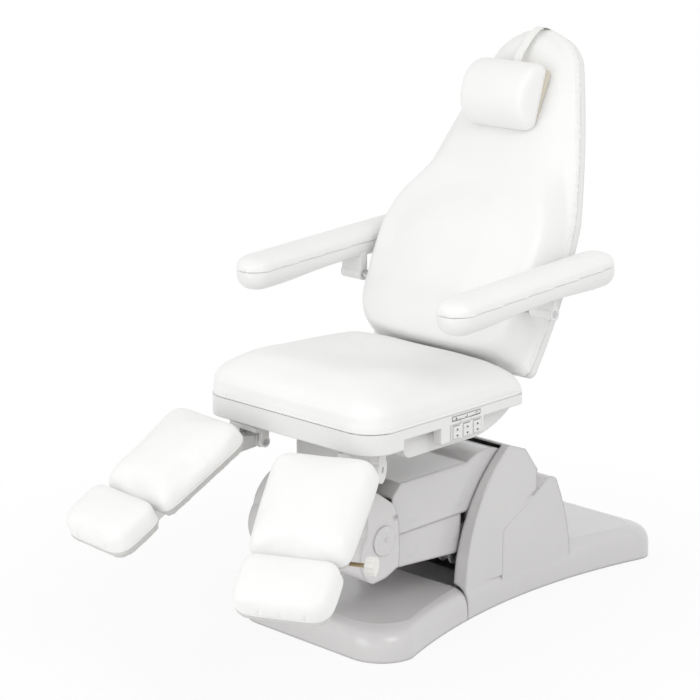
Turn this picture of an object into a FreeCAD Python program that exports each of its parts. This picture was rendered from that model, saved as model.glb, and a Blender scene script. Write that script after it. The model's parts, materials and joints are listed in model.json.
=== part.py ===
import FreeCAD, Part
import math
import os
import re

# Pedicure chair: a column-free treatment chair on a parallelogram lifting arm.
# Frame: millimetres, X to the sitter's left, Y to the rear, Z up, origin on the floor under the arm.

V = FreeCAD.Vector
doc = FreeCAD.newDocument("pedicure_chair")

# Driving dimensions: alias, value, meaning.
SIZES = [
    # base
    ("base_front", -315, "front edge of the base"),
    ("base_rear", 780, "rear edge of the base"),
    ("base_front_half", 262, "half width at the front feet"),
    ("base_waist_half", 181, "half width at the waist"),
    ("base_rear_half", 240, "half width at the rear feet"),
    ("base_seam", 62, "seam between the front and rear covers"),
    ("front_height", 78, "height of the front cover"),
    ("rear_height", 90, "height of the rear cover behind the tower"),
    ("cover_wall", 4, "wall of the moulded covers"),
    ("plate_thick", 8, "base plate thickness"),
    ("tower_inset", 10, "tower wall inside the base outline"),
    ("fin_proud", 6, "step from the tower wall out to the rear fin"),
    ("tower_top", 410, "height of the tower's hood"),
    # lifting arm
    ("pivot_y", 180, "rear pivots, behind the origin"),
    ("pivot_z", 205, "height of the lower pivots"),
    ("pivot_gap", 65, "upper pivot above the lower one"),
    ("link_length", 385, "pivot to pivot along a link"),
    ("bar_height", 36, "height of a link bar"),
    ("bar_thick", 12, "thickness of a link bar"),
    ("bar_in", 108, "inner face of the link bars"),
    ("side_gap", 3, "side play between plates that turn"),
    ("frame_plate", 10, "thickness of tower and carrier plates"),
    ("shaft_radius", 12, "tower pivot shafts"),
    ("stub_radius", 11, "carrier stub pins"),
    ("hinge_radius", 10, "seat, back and leg hinge pins"),
    ("running_gap", 0.05, "radial clearance of a running fit"),
    ("arm_room", 12, "arm cover's side outside the tower plates"),
    ("arm_wall", 4, "wall of the arm covers"),
    ("nest_gap", 1, "clearance between nested covers"),
    ("nose_half", 190, "half width of the nose cover"),
    ("drum_radius", 138, "drum of the upper cover round its pivot"),
    ("cover_seam", 262, "seam between the arm covers"),
    ("cap_radius", 36, "round cap on the nose"),
    # lift drive
    ("lift_drop", 110, "lift rod below the lower pivot"),
    ("lift_lean", 15, "lever leans back at rest, degrees"),
    ("slot_gap", 1.8, "side clearance of a pin in its lever slot"),
    ("drive_pin", 8, "radius of the drive cross pins"),
    ("rod_radius", 10, "radius of the drive rods"),
    ("tube_radius", 21, "radius of the drive tubes"),
    # seat
    ("seat_half", 285, "half width of the seat"),
    ("seat_front", -380, "front edge of the seat"),
    ("seat_rear", 166, "rear edge of the seat"),
    ("seat_z", 585, "underside of the seat cushion"),
    ("cushion_height", 92, "height of the seat cushion"),
    ("cushion_rise", 3.2, "seat cushion rises to the front, degrees"),
    ("seat_corner", 70, "front corners of the seat"),
    ("rear_corner", 28, "rear corners of the seat"),
    ("board_thick", 15, "seat board"),
    ("pan_drop", 25, "skirt of the seat pan below the cushion"),
    ("apron_drop", 49, "deeper skirt at the front"),
    ("apron_end", -270, "where the deeper skirt stops"),
    ("pan_wall", 4, "wall of the pan and fairing"),
    ("tube_size", 30, "square tube of the seat frame"),
    ("tube_wall", 2.5, "wall of the square tube"),
    ("rail_x", 150, "seat rails and leg swivels from the middle"),
    ("tilt_y", 60, "seat hinge, behind the origin"),
    ("tilt_z", 520, "seat hinge height"),
    ("jack_y", -205, "tilt drive axis"),
    ("fairing_inset", 45, "fairing's side inside the seat's edge"),
    ("fairing_z", 493, "bottom of the fairing"),
    # switches
    ("switch_y", -57, "middle rocker"),
    ("switch_z", 541, "rocker height"),
    ("switch_pitch", 36, "rocker spacing"),
    ("rocker_wide", 24, "rocker width"),
    ("rocker_tall", 31, "rocker height"),
    # back
    ("back_lean", 24.5, "backrest from the vertical, degrees"),
    ("back_y", 220, "rear face of the backrest at its bottom"),
    ("back_z", 590, "bottom of the backrest"),
    ("back_half", 272, "half width of the backrest"),
    ("back_top", 880, "length of the backrest"),
    ("shell_deep", 22, "depth of the back shell"),
    ("back_thick", 76, "backrest front from its rear face"),
    ("hinge_y", 195, "back hinge"),
    ("hinge_z", 575, "back hinge height"),
    ("back_drop", 60, "back rod below the back hinge"),
    ("back_lever_lean", 25, "back lever leans back at rest, degrees"),
    ("pillow_half", 104, "half width of the head pillow"),
    ("lumbar_high", 150, "front of the lumbar swell from the rear face"),
    ("lumbar_low", 62, "bottom of the lumbar swell along the backrest"),
    ("lumbar_top", 440, "top of the lumbar swell along the backrest"),
    ("pillow_gap", 3, "pillow clear of the upper back at its lower edge"),
    ("pillow_tilt", 8.3, "pillow leans off the back, degrees"),
    ("pillow_low", 604, "bottom of the pillow along the backrest"),
    ("pillow_high", 768, "top of the pillow along the backrest"),
    ("pillow_deep", 76, "depth of the pillow"),
    ("strap_wide", 24, "pillow strap width"),
    ("strap_thick", 2, "pillow strap thickness"),
    # armrests
    ("arm_out", 60, "middle of an armrest outside the backrest"),
    ("arm_wide", 100, "armrest width"),
    ("arm_front", -193, "armrest tip"),
    ("arm_rear", 402, "armrest rear end"),
    ("arm_seam_z", 861, "seam between the pad and the shell"),
    ("arm_pitch", 3.4, "armrest droop to the front, degrees"),
    ("arm_pad_high", 37, "pad above the seam"),
    ("arm_shell_deep", 47, "shell below the seam"),
    ("arm_relief", 15, "hollow under the middle of an armrest"),
    ("arm_neck", 11, "half width of the neck up to an armrest"),
    ("arm_pivot_y", 188, "armrest pivot"),
    ("arm_drop", 76, "armrest pivot below the seam"),
    ("arm_pin", 9, "armrest pin radius"),
    ("outrigger_inset", 16, "armrest outrigger inside the backrest's side"),
    ("outrigger_thick", 8, "thickness of an outrigger"),
    ("outrigger_half", 13, "half height of an outrigger"),
    # leg rests, in the leg's own frame about its swivel point
    ("leg_y", -310, "leg swivel"),
    ("leg_z", 476, "leg tilt axis height"),
    ("leg_swing_left", 25.6, "rest swing of the sitter's left leg, degrees"),
    ("leg_tilt_left", 35.8, "rest tilt of the left leg, degrees"),
    ("leg_swing_right", 4.3, "rest swing of the right leg, degrees"),
    ("leg_tilt_right", 29.9, "rest tilt of the right leg, degrees"),
    ("yoke_out", 80, "outer end of the yoke"),
    ("yoke_in", 20, "inner end of the yoke"),
    ("hub_out", 45, "outer end of the leg hub"),
    ("hub_in", 4, "inner end of the leg hub"),
    ("hub_radius", 16, "radius of the leg hub"),
    ("leg_pin_radius", 8, "leg tilt pin"),
    ("drum_hub", 32, "radius of the yoke's drums"),
    ("swivel_radius", 12, "leg swivel pin"),
    ("calf_start", 81, "calf pad from the tilt axis"),
    ("calf_length", 281, "calf pad length"),
    ("calf_wide", 258, "calf pad width at the knee"),
    ("waist_wide", 238, "pad width at the ankle"),
    ("foot_length", 138, "foot pad length"),
    ("pad_gap", 8, "gap between the calf and foot pads"),
    ("pad_base", 100, "underside of the pads above the tilt axis"),
    ("pad_thick", 84, "pad thickness"),
    ("leg_tube", 40, "outer leg tube"),
    ("leg_tube_wall", 4, "wall of the leg tubes"),
    ("slide_gap", 0.3, "side clearance of the foot tube"),
    ("pad_plate", 6, "plate under a pad"),
    ("knob_radius", 22, "clamp knob"),
    ("knob_reach", 160, "outer end of the clamp knob"),
    ("screw_radius", 5, "clamp screw"),
]

sheet = doc.addObject("Spreadsheet::Sheet", "sizes")
for row, (alias, value, meaning) in enumerate(SIZES, start=1):
    sheet.set("A%d" % row, alias)
    sheet.set("B%d" % row, str(value))
    sheet.set("C%d" % row, meaning)
    sheet.setAlias("B%d" % row, alias)
doc.recompute()
ALIASES = {alias for alias, value, meaning in SIZES}
NODES = {}


def val(alias):
    """A driving dimension, as a number."""
    return float(sheet.get(alias))


def bound(text):
    """An expression for a property: each alias in the text points at its cell."""
    name = lambda word: "sizes." + word.group(0) if word.group(0) in ALIASES else word.group(0)
    return re.sub(r"[a-z_]+", name, str(text))


def node(name, item):
    """Marks a document object as a finished sub-part."""
    item.Label = name
    NODES[name] = item
    return item


# Solids

TURN = {
    "x": FreeCAD.Rotation(V(0, 1, 0), 90),
    "y": FreeCAD.Rotation(V(1, 0, 0), -90),
    "z": FreeCAD.Rotation(),
}
WORLD = FreeCAD.Placement()
SIDE = FreeCAD.Placement(V(0, 0, 0), FreeCAD.Rotation(V(0, 1, 0), V(0, 0, 1), V(1, 0, 0)))


def shifted(frame, x, y, z):
    return frame.multiply(FreeCAD.Placement(V(x, y, z), FreeCAD.Rotation()))


def box(name, x, y, z):
    """A box in the chair's frame between pairs of expressions."""
    item = doc.addObject("Part::Box", name)
    for axis, length, (low, high) in (("x", "Length", x), ("y", "Width", y), ("z", "Height", z)):
        item.setExpression(length, bound("(%s) - (%s)" % (high, low)))
        item.setExpression("Placement.Base." + axis, bound(low))
    return item


def rod(name, axis, span, across, radius):
    """A cylinder in the chair's frame along an axis between two expressions."""
    item = doc.addObject("Part::Cylinder", name)
    item.Placement = FreeCAD.Placement(V(0, 0, 0), TURN[axis])
    item.setExpression("Radius", bound(radius))
    item.setExpression("Height", bound("(%s) - (%s)" % (span[1], span[0])))
    others = [letter for letter in "xyz" if letter != axis]
    item.setExpression("Placement.Base." + axis, bound(span[0]))
    for letter, place in zip(others, across):
        item.setExpression("Placement.Base." + letter, bound(place))
    return item


def local_box(name, frame, x, y, z):
    """A box in a tilted frame, between pairs of numbers."""
    item = doc.addObject("Part::Box", name)
    item.Length, item.Width, item.Height = x[1] - x[0], y[1] - y[0], z[1] - z[0]
    item.Placement = shifted(frame, x[0], y[0], z[0])
    return item


def local_rod(name, frame, axis, span, across, radius):
    """A cylinder in a tilted frame."""
    item = doc.addObject("Part::Cylinder", name)
    item.Radius, item.Height = radius, span[1] - span[0]
    place = dict(zip([letter for letter in "xyz" if letter != axis], across))
    place[axis] = span[0]
    turned = FreeCAD.Placement(V(place["x"], place["y"], place["z"]), TURN[axis])
    item.Placement = frame.multiply(turned)
    return item


def fuse(name, *items):
    item = doc.addObject("Part::MultiFuse", name)
    item.Shapes = list(items)
    return item


def cut(name, base, *tools):
    item = doc.addObject("Part::Cut", name)
    item.Base = base
    item.Tool = tools[0] if len(tools) == 1 else fuse(name + "_tools", *tools)
    return item


def common(name, first, second):
    item = doc.addObject("Part::Common", name)
    item.Base, item.Tool = first, second
    return item


def sketch(name, outline, placement):
    """A closed outline: a start point, then end points or (middle, end) pairs for arcs."""
    item = doc.addObject("Sketcher::SketchObject", name)
    item.Placement = placement
    start, moves = outline
    here = V(start[0], start[1], 0)
    for move in list(moves) + [start]:
        if isinstance(move[0], tuple):
            middle, end = (V(point[0], point[1], 0) for point in move)
            item.addGeometry(Part.Arc(here, middle, end), False)
        else:
            end = V(move[0], move[1], 0)
            if (end - here).Length < 1e-6:
                continue
            item.addGeometry(Part.LineSegment(here, end), False)
        here = end
    return item


def prism(name, outline, placement, length):
    """An outline extruded along its normal by an expression."""
    item = doc.addObject("Part::Extrusion", name)
    item.Base = sketch(name + "_outline", outline, placement)
    item.DirMode = "Normal"
    item.Solid = True
    item.setExpression("LengthFwd", bound(length))
    return item


def side_prism(name, outline, half, centre=0.0):
    """A side view outline (Y, Z) extruded across the chair, half each way from a middle plane."""
    item = prism(name, outline, shifted(SIDE, 0, 0, centre - number(half)), "2 * (%s)" % half)
    return item


def number(text):
    """The value of an expression in the driving dimensions."""
    words = re.sub(r"[a-z_]+", lambda word: repr(val(word.group(0))), str(text))
    total = 0.0
    for term in re.findall(r"[-+]?[^-+]+", words.replace(" ", "")):
        total += math.prod(float(factor) for factor in term.split("*"))
    return total


def stack(name, outline, frame, levels, rise=0, about=0):
    """A loft through an outline drawn at several heights, each with its own inset.

    The levels turn about a cross line more and more, by the rise in degrees at the top.
    """
    item = doc.addObject("Part::Loft", name)
    sections = []
    for step, (height, inset) in enumerate(levels):
        turn = FreeCAD.Rotation(V(1, 0, 0), -rise * height / levels[-1][0])
        plane = shifted(frame, 0, about, height).multiply(FreeCAD.Placement(V(0, 0, 0), turn))
        level = "%s_level_%d" % (name, step)
        sections.append(sketch(level, outline(inset), shifted(plane, 0, -about, 0)))
    item.Sections = sections
    item.Solid = True
    item.Ruled = False
    return item


def rounded(points, radii):
    """A convex outline with round corners."""
    start, moves = None, []
    count = len(points)
    for index, (corner, radius) in enumerate(zip(points, radii)):
        corner = V(corner[0], corner[1], 0)
        before = V(*points[index - 1], 0) - corner
        after = V(*points[(index + 1) % count], 0) - corner
        before.normalize()
        after.normalize()
        half = before.getAngle(after) / 2
        along = radius / math.tan(half)
        bisector = (before + after).normalize()
        first = corner + before * along
        middle = corner + bisector * (radius / math.sin(half) - radius)
        last = corner + after * along
        if start is None:
            start = (first.x, first.y)
        else:
            moves.append((first.x, first.y))
        moves.append(((middle.x, middle.y), (last.x, last.y)))
    return start, moves


def rectangle(x, y, radius):
    """A rectangle with round corners, anticlockwise."""
    points = [(x[0], y[0]), (x[1], y[0]), (x[1], y[1]), (x[0], y[1])]
    return rounded(points, [radius] * 4)


# Derived places

LOW_Z = "pivot_z"
HIGH_Z = "pivot_z + pivot_gap"
FRONT_Y = "pivot_y - link_length"
TOWER_IN = "bar_in + bar_thick + side_gap"
TOWER_OUT = TOWER_IN + " + frame_plate"
ARM_HALF = TOWER_OUT + " + arm_room"
FAIRING_HALF = "seat_half - fairing_inset"
ARM_X = "back_half + arm_out"
ARM_Z = "arm_seam_z - arm_drop"
front_y = val("pivot_y") - val("link_length")
high_z = val("pivot_z") + val("pivot_gap")
lean = math.radians(val("back_lean"))
BACK = FreeCAD.Placement(
    V(0, val("back_y"), val("back_z")),
    FreeCAD.Rotation(
        V(1, 0, 0), V(0, math.sin(lean), math.cos(lean)), V(0, -math.cos(lean), math.sin(lean))
    ),
)


def leg_frame(side, tilted=True):
    """Frame of a leg rest: X across, -Y along the leg, Z out of the pads."""
    name = "left" if side > 0 else "right"
    swing = FreeCAD.Rotation(V(0, 0, 1), side * val("leg_swing_" + name))
    tilt = FreeCAD.Rotation(V(1, 0, 0), val("leg_tilt_" + name) if tilted else 0)
    return FreeCAD.Placement(V(side * val("rail_x"), val("leg_y"), val("leg_z")), swing.multiply(tilt))


def arm_frame(side):
    """Frame of an armrest, on its seam, drooping to the front."""
    middle = (val("arm_front") + val("arm_rear")) / 2
    droop = FreeCAD.Rotation(V(1, 0, 0), val("arm_pitch"))
    return FreeCAD.Placement(V(side * number(ARM_X), middle, val("arm_seam_z")), droop)


# Base

def base_outline(inset):
    """Waisted plan of the base: straight front, long hollow sides, straight rear."""
    front, rear = val("base_front") + inset, val("base_rear") - inset
    toe, waist, heel = (val("base_%s_half" % part) - inset for part in ("front", "waist", "rear"))
    flat_front, flat_rear = toe - 97, heel - 55
    toe_y, waist_y, heel_y = front + 100, (front + rear) / 2 + 67, rear - 65
    right = [
        ((toe - 26, front + 32), (toe, toe_y)),
        ((waist, waist_y), (heel, heel_y)),
        ((heel - 12, rear - 18), (flat_rear, rear)),
    ]
    left = [
        (-flat_rear, rear),
        ((-heel + 12, rear - 18), (-heel, heel_y)),
        ((-waist, waist_y), (-toe, toe_y)),
        ((-toe + 26, front + 32), (-flat_front, front)),
    ]
    return (flat_front, front), right + left


def soft_top(height, inset):
    """Levels of a moulding with a well rounded top edge."""
    return [
        (0, inset),
        (14, inset),
        (height - 44, inset + 1),
        (height - 24, inset + 6),
        (height - 8, inset + 20),
        (height, inset + 44),
    ]


def half_space(name, y):
    return box(name, (-400, 400), y, (-10, 600))


def floor_gap(name):
    """What the covers leave open above the floor."""
    return box(name, (-400, 400), ("base_front - 50", "base_rear + 50"), (-10, 1.5))


def base_plate():
    plate = prism("base_plate", base_outline(val("cover_wall") + 0.4), WORLD, "plate_thick")
    node("base_plate", plate)


def base_front_cover():
    wall, height = val("cover_wall"), val("front_height")
    outer = stack("front_outer", base_outline, WORLD, soft_top(height, 0))
    below = shifted(WORLD, 0, 0, -1)
    inner = stack("front_inner", base_outline, below, soft_top(height - wall + 1, wall))
    skin = cut("front_skin", outer, inner)
    part = half_space("front_part", ("base_front - 10", "base_seam - 0.25"))
    whole = common("front_whole", skin, part)
    node("base_front_cover", cut("base_front_cover", whole, floor_gap("front_floor_gap")))


def tower_profile(inset):
    """Side view of the main hump: curved opening edge, sloping hood, steep rear."""
    seam, top = val("base_seam"), val("tower_top")
    return (seam + inset, 40), [
        (seam + inset, 87),
        ((seam + 44 + inset * 0.9, 254 - inset * 0.3), (seam + 178 + inset * 0.6, top - inset * 1.2)),
        (seam + 243 - inset * 0.3, top - 24 - inset),
        (seam + 290 - inset, top - 88 - inset * 0.5),
        (seam + 290 - inset, 40),
    ]


def fin_profile(inset):
    """Side view of the rear fin, whose front edge runs down across the tower's side."""
    seam, top = val("base_seam"), val("tower_top")
    return (seam + 150 + inset, 40), [
        (seam + 150 + inset, top - 215),
        ((seam + 238, top - 171 - inset), (seam + 318, top - 122 - inset)),
        (
            (seam + 343 - inset * 0.4, top - 118 - inset),
            (seam + 360 - inset * 0.8, top - 138 - inset * 0.6),
        ),
        ((seam + 388 - inset, top - 215), (seam + 408 - inset, top - 306)),
        (seam + 412 - inset, 40),
    ]


def tower_solid(name, inset):
    """Both humps, drawn in by an inset."""
    shell_in = val("tower_inset") + inset
    reach = 500
    low = shifted(WORLD, 0, 0, 30)
    main_plan = prism(name + "_main_plan", base_outline(shell_in), low, reach)
    main = common(name + "_main", main_plan, side_prism(name + "_main_side", tower_profile(inset), reach))
    fin_plan = prism(name + "_fin_plan", base_outline(shell_in - val("fin_proud")), low, reach)
    fin = common(name + "_fin", fin_plan, side_prism(name + "_fin_side", fin_profile(inset), reach))
    return main, fin


def base_rear_cover():
    wall, height = val("cover_wall"), val("rear_height")
    slab = stack("rear_outer", base_outline, WORLD, soft_top(height, 0))
    rear = common("rear_part", slab, half_space("rear_space", ("base_seam + 0.25", "base_rear + 10")))
    outer = fuse("rear_solid", rear, *tower_solid("tower", 0))
    below = shifted(WORLD, 0, 0, -1)
    hollow = stack("rear_hollow", base_outline, below, soft_top(height - wall + 1, wall))
    behind = half_space("hollow_space", ("base_seam - 5", "base_rear + 10"))
    hollow_rear = common("hollow_part", hollow, behind)
    inside = fuse("rear_inside", hollow_rear, *tower_solid("tower_inside", wall))
    skin = cut("rear_skin", outer, inside)
    opening = ARM_HALF + " + arm_wall"
    width = ("-(%s)" % opening, opening)
    passage = box("arm_passage", width, ("base_seam - 20", "pivot_y"), (84, HIGH_Z))
    drum = rod("drum_passage", "x", width, ("pivot_y", HIGH_Z), "drum_radius + 9")
    inlet = box("inlet_hole", (70, 120), ("base_rear - 40", "base_rear + 20"), (24, 52))
    gap = floor_gap("rear_floor_gap")
    node("base_rear_cover", cut("base_rear_cover", skin, passage, drum, inlet, gap))


def power_inlet():
    """Appliance inlet in the rear wall: a flanged block with a socket and three blades."""
    body = box("inlet_body", (70.3, 119.7), ("base_rear - 30", "base_rear"), (24.3, 51.7))
    flange = box("inlet_flange", (64, 126), ("base_rear + 0.2", "base_rear + 3"), (19, 57))
    neck = box("inlet_neck", (72, 118), ("base_rear - 1", "base_rear + 1"), (26, 50))
    socket = box("inlet_socket", (80, 110), ("base_rear - 18", "base_rear + 5"), (29, 47))
    shell = cut("inlet_shell", fuse("inlet_solid", body, flange, neck), socket)
    blades = [
        box("inlet_blade_%d" % index, (x, x + 2), ("base_rear - 19", "base_rear - 4"), (z, z + 6))
        for index, (x, z) in enumerate(((86, 32), (94, 38), (102, 32)))
    ]
    node("power_inlet", fuse("power_inlet", shell, *blades))


def tower_frame():
    """Two side plates on the base plate, tied by a brace behind the lever."""
    plates = []
    for side, low, high in ((1, TOWER_IN, TOWER_OUT), (-1, "-(%s)" % TOWER_OUT, "-(%s)" % TOWER_IN)):
        name = "left" if side > 0 else "right"
        plate = box("tower_plate_" + name, (low, high), ("pivot_y - 50", "pivot_y + 55"),
                    ("plate_thick", HIGH_Z + " + 25"))
        foot = box("tower_foot_" + name, (low, high), ("pivot_y - 90", "pivot_y + 120"),
                   ("plate_thick", "plate_thick + 60"))
        plates += [plate, foot]
    brace = box("tower_brace", ("-(%s)" % TOWER_IN, TOWER_IN), ("pivot_y + 45", "pivot_y + 55"),
                ("pivot_z - 50", "pivot_z - 15"))
    whole = fuse("tower_weldment", *plates, brace)
    holes = [
        rod("tower_hole_%d" % index, "x", ("-200", "200"), ("pivot_y", height), "shaft_radius")
        for index, height in enumerate((LOW_Z, HIGH_Z))
    ]
    node("tower_frame", cut("tower_frame", whole, *holes))


def tower_shafts():
    span = ("-(%s)" % TOWER_OUT, TOWER_OUT)
    shafts = [
        rod("tower_shaft_%d" % index, "x", span, ("pivot_y", height), "shaft_radius")
        for index, height in enumerate((LOW_Z, HIGH_Z))
    ]
    node("tower_shafts", fuse("tower_shafts", *shafts))


LIFT_Z = "pivot_z - lift_drop"
lift_pin_y = val("pivot_y") + val("lift_drop") * math.tan(math.radians(val("lift_lean")))


def lift_drive():
    """Gearbox on a foot, motor beside it, and the guide tube of the lift rod."""
    tube = rod("lift_tube", "y", ("pivot_y + 72", "pivot_y + 230"), ("0", LIFT_Z), "tube_radius")
    gearbox = box("lift_gearbox", (-32, 32), ("pivot_y + 225", "pivot_y + 266"),
                  (LIFT_Z + " - 30", LIFT_Z + " + 28"))
    foot = box("lift_foot", (-26, 26), ("pivot_y + 228", "pivot_y + 262"),
               ("plate_thick", LIFT_Z + " - 29"))
    motor = rod("lift_motor", "y", ("pivot_y + 120", "pivot_y + 226"), ("56", LIFT_Z), "26")
    flange = box("lift_flange", (0, 78), ("pivot_y + 226", "pivot_y + 236"),
                 (LIFT_Z + " - 24", LIFT_Z + " + 24"))
    bore = rod("lift_bore", "y", ("pivot_y + 60", "pivot_y + 222"), ("0", LIFT_Z),
               "rod_radius + running_gap")
    solid = fuse("lift_drive_solid", tube, gearbox, foot, motor, flange)
    node("lift_drive", cut("lift_drive", solid, bore))


def lift_rod():
    """Rod with a cross pin that works in the slots of the lower link's lever."""
    y = lift_pin_y
    shank = rod("lift_shank", "y", (y, y + 160), ("0", LIFT_Z), "rod_radius")
    head = box("lift_head", (-12, 12), (y - 14, y + 14), (LIFT_Z + " - 14", LIFT_Z + " + 14"))
    pin = rod("lift_pin", "x", (-26, 26), (y, LIFT_Z), "drive_pin")
    node("lift_rod", fuse("lift_rod", shank, head, pin))


def control_box():
    case = box("control_case", (-95, 55), ("base_rear - 280", "base_rear - 110"),
               ("plate_thick", "plate_thick + 58"))
    reach = ("base_rear - 111", "base_rear - 95")
    glands = [
        rod("control_gland_%d" % index, "y", reach, (x, "plate_thick + 30"), "9")
        for index, x in enumerate((-60, -20, 20))
    ]
    node("control_box", fuse("control_box", case, *glands))


# Lifting arm

def link(name, height, rear_radius, tube_y, extra):
    """Two bars with round ends, joined by a cross tube."""
    end = val("bar_height") / 2
    y0, y1, z = front_y, val("pivot_y"), number(height)
    outline = (y1, z + end), [
        (y0, z + end),
        ((y0 - end, z), (y0, z - end)),
        (y1, z - end),
        ((y1 + end, z), (y1, z + end)),
    ]
    bars = [
        prism("%s_bar_%d" % (name, side), outline, shifted(SIDE, 0, 0, low), "bar_thick")
        for side, low in ((1, val("bar_in")), (-1, -val("bar_in") - val("bar_thick")))
    ]
    tube = rod(name + "_tube", "x", ("-bar_in", "bar_in"), (tube_y, height), "13")
    whole = fuse(name + "_weldment", *bars, tube, *extra)
    rear = rod(name + "_rear_hole", "x", (-200, 200), ("pivot_y", height), rear_radius)
    front = rod(name + "_front_hole", "x", (-200, 200), (FRONT_Y, height), "stub_radius + running_gap")
    return whole, [rear, front]


def lever(name, pivot, angle, reach, width, slot, thick):
    """Two slotted plates hanging from a pivot, leaning back by an angle."""
    y, z = pivot
    down = V(math.sin(math.radians(angle)), -math.cos(math.radians(angle)), 0)
    across = V(down.y, -down.x, 0)
    at = lambda along, off: (
        y + down.x * along + across.x * off, z + down.y * along + across.y * off)
    half = width / 2
    outline = at(-4, half), [at(reach, half), (at(reach + half, 0), at(reach, -half)), at(-4, -half)]
    near, far, radius = slot
    cutter = at(near, radius), [
        at(far, radius), (at(far + radius, 0), at(far, -radius)), at(near, -radius),
        (at(near - radius, 0), at(near, radius))]
    plates = [
        prism("%s_plate_%d" % (name, side), outline, shifted(SIDE, 0, 0, low), "%g" % thick)
        for side, low in ((1, 14), (-1, -14 - thick))
    ]
    slot_cut = prism(name + "_slot", cutter, shifted(SIDE, 0, 0, -40), "80")
    return plates, slot_cut


def lower_link():
    """Main link: a torque tube turns on the lower shaft and carries the lift lever."""
    drop = val("lift_drop")
    radius = val("drive_pin") + val("slot_gap")
    plates, slot = lever(
        "lift_lever", (val("pivot_y"), val("pivot_z")), val("lift_lean"),
        drop + 14, 38, (drop - 3, drop / math.cos(math.radians(24)) + 2, radius), 8)
    torque = rod("torque_tube", "x", ("-bar_in", "bar_in"), ("pivot_y", LOW_Z), "22")
    turning = "shaft_radius + running_gap"
    whole, holes = link("lower_link", LOW_Z, turning, "pivot_y - 240", [torque] + plates)
    node("lower_link", cut("lower_link", whole, slot, *holes))


def upper_link():
    whole, holes = link("upper_link", HIGH_Z, "shaft_radius + running_gap", "pivot_y - 130", [])
    node("upper_link", cut("upper_link", whole, *holes))


def arm_upper_cover():
    """Hood over the arm: a drum round the rear pivot that runs forward to the nose."""
    def outline(inset):
        radius = val("drum_radius") - inset
        y, z = val("pivot_y"), high_z
        floor = val("cover_seam")
        back = y + math.sqrt(radius ** 2 - (z - floor) ** 2)
        join = y - 70
        join_z = z + math.sqrt(radius ** 2 - 70.0 ** 2)
        front = front_y + 45
        return (back, floor), [
            ((y + 8, z + math.sqrt(radius ** 2 - 64)), (join, join_z)),
            (front + 30, join_z + 2),
            (front, join_z - 29),
            (front, floor),
        ]

    inside = ARM_HALF + " - arm_wall"
    width = ("-(%s)" % inside, inside)
    outer = side_prism("upper_cover_outer", outline(0), ARM_HALF)
    inner = side_prism("upper_cover_inner", outline(val("arm_wall")), inside)
    under = box("upper_cover_under", width, (FRONT_Y + " + 30", "pivot_y + drum_radius - arm_wall - 3"),
                ("cover_seam - 2", "cover_seam + 6"))
    mouth = box("upper_cover_mouth", width, (FRONT_Y + " + 30", FRONT_Y + " + 60"),
                ("cover_seam - 2", HIGH_Z + " + 88"))
    shell = cut("upper_cover_shell", outer, inner, under, mouth)
    tabs = tab_set("upper_tab", ("bar_in + 2", inside + " + 1"), (HIGH_Z + " + bar_height / 2", 8))
    node("arm_upper_cover", fuse("arm_upper_cover", shell, *tabs))


def tab_set(name, x, z):
    """Four tabs that seat an arm cover on its link's bars."""
    tabs = []
    for index, (side, y) in enumerate(((1, -100), (1, 60), (-1, -100), (-1, 60))):
        low, high = x if side > 0 else ("-(%s)" % x[1], "-(%s)" % x[0])
        tabs.append(box("%s_%d" % (name, index), (low, high), (y, y + 30), (z[0], "%s + %d" % z)))
    return tabs


def arm_lower_cover():
    """Trough under the arm, nested inside the upper cover."""
    half = ARM_HALF + " - arm_wall - nest_gap"
    inside = half + " - arm_wall"
    width = ("-(%s)" % inside, inside)
    seam, front = val("cover_seam"), front_y + 35
    rear = val("pivot_y") - 85
    wall = val("arm_wall")

    def outline(low, lift):
        return (front, seam - 81 + lift), [(rear, seam - 103 + lift), (rear, low), (front, low)]

    outer = side_prism("lower_cover_outer", outline(seam + 10, 0), half)
    inner = side_prism("lower_cover_inner", outline(seam + 40, wall), inside)
    mouth = box("lower_cover_mouth", width, (front - 5, front + 20), ("cover_seam - 74", "cover_seam + 40"))
    back = box("lower_cover_back", width, (rear - 20, rear + 5), ("cover_seam - 90", "cover_seam + 40"))
    shell = cut("lower_cover_shell", outer, inner, mouth, back)
    tabs = tab_set("lower_tab", ("bar_in + bar_thick", inside + " + 1"), (LOW_Z + " - 8", 16))
    node("arm_lower_cover", fuse("arm_lower_cover", shell, *tabs))


CARRIER_OUT = "bar_in - side_gap"
CARRIER_IN = "bar_in - side_gap - frame_plate"


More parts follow.
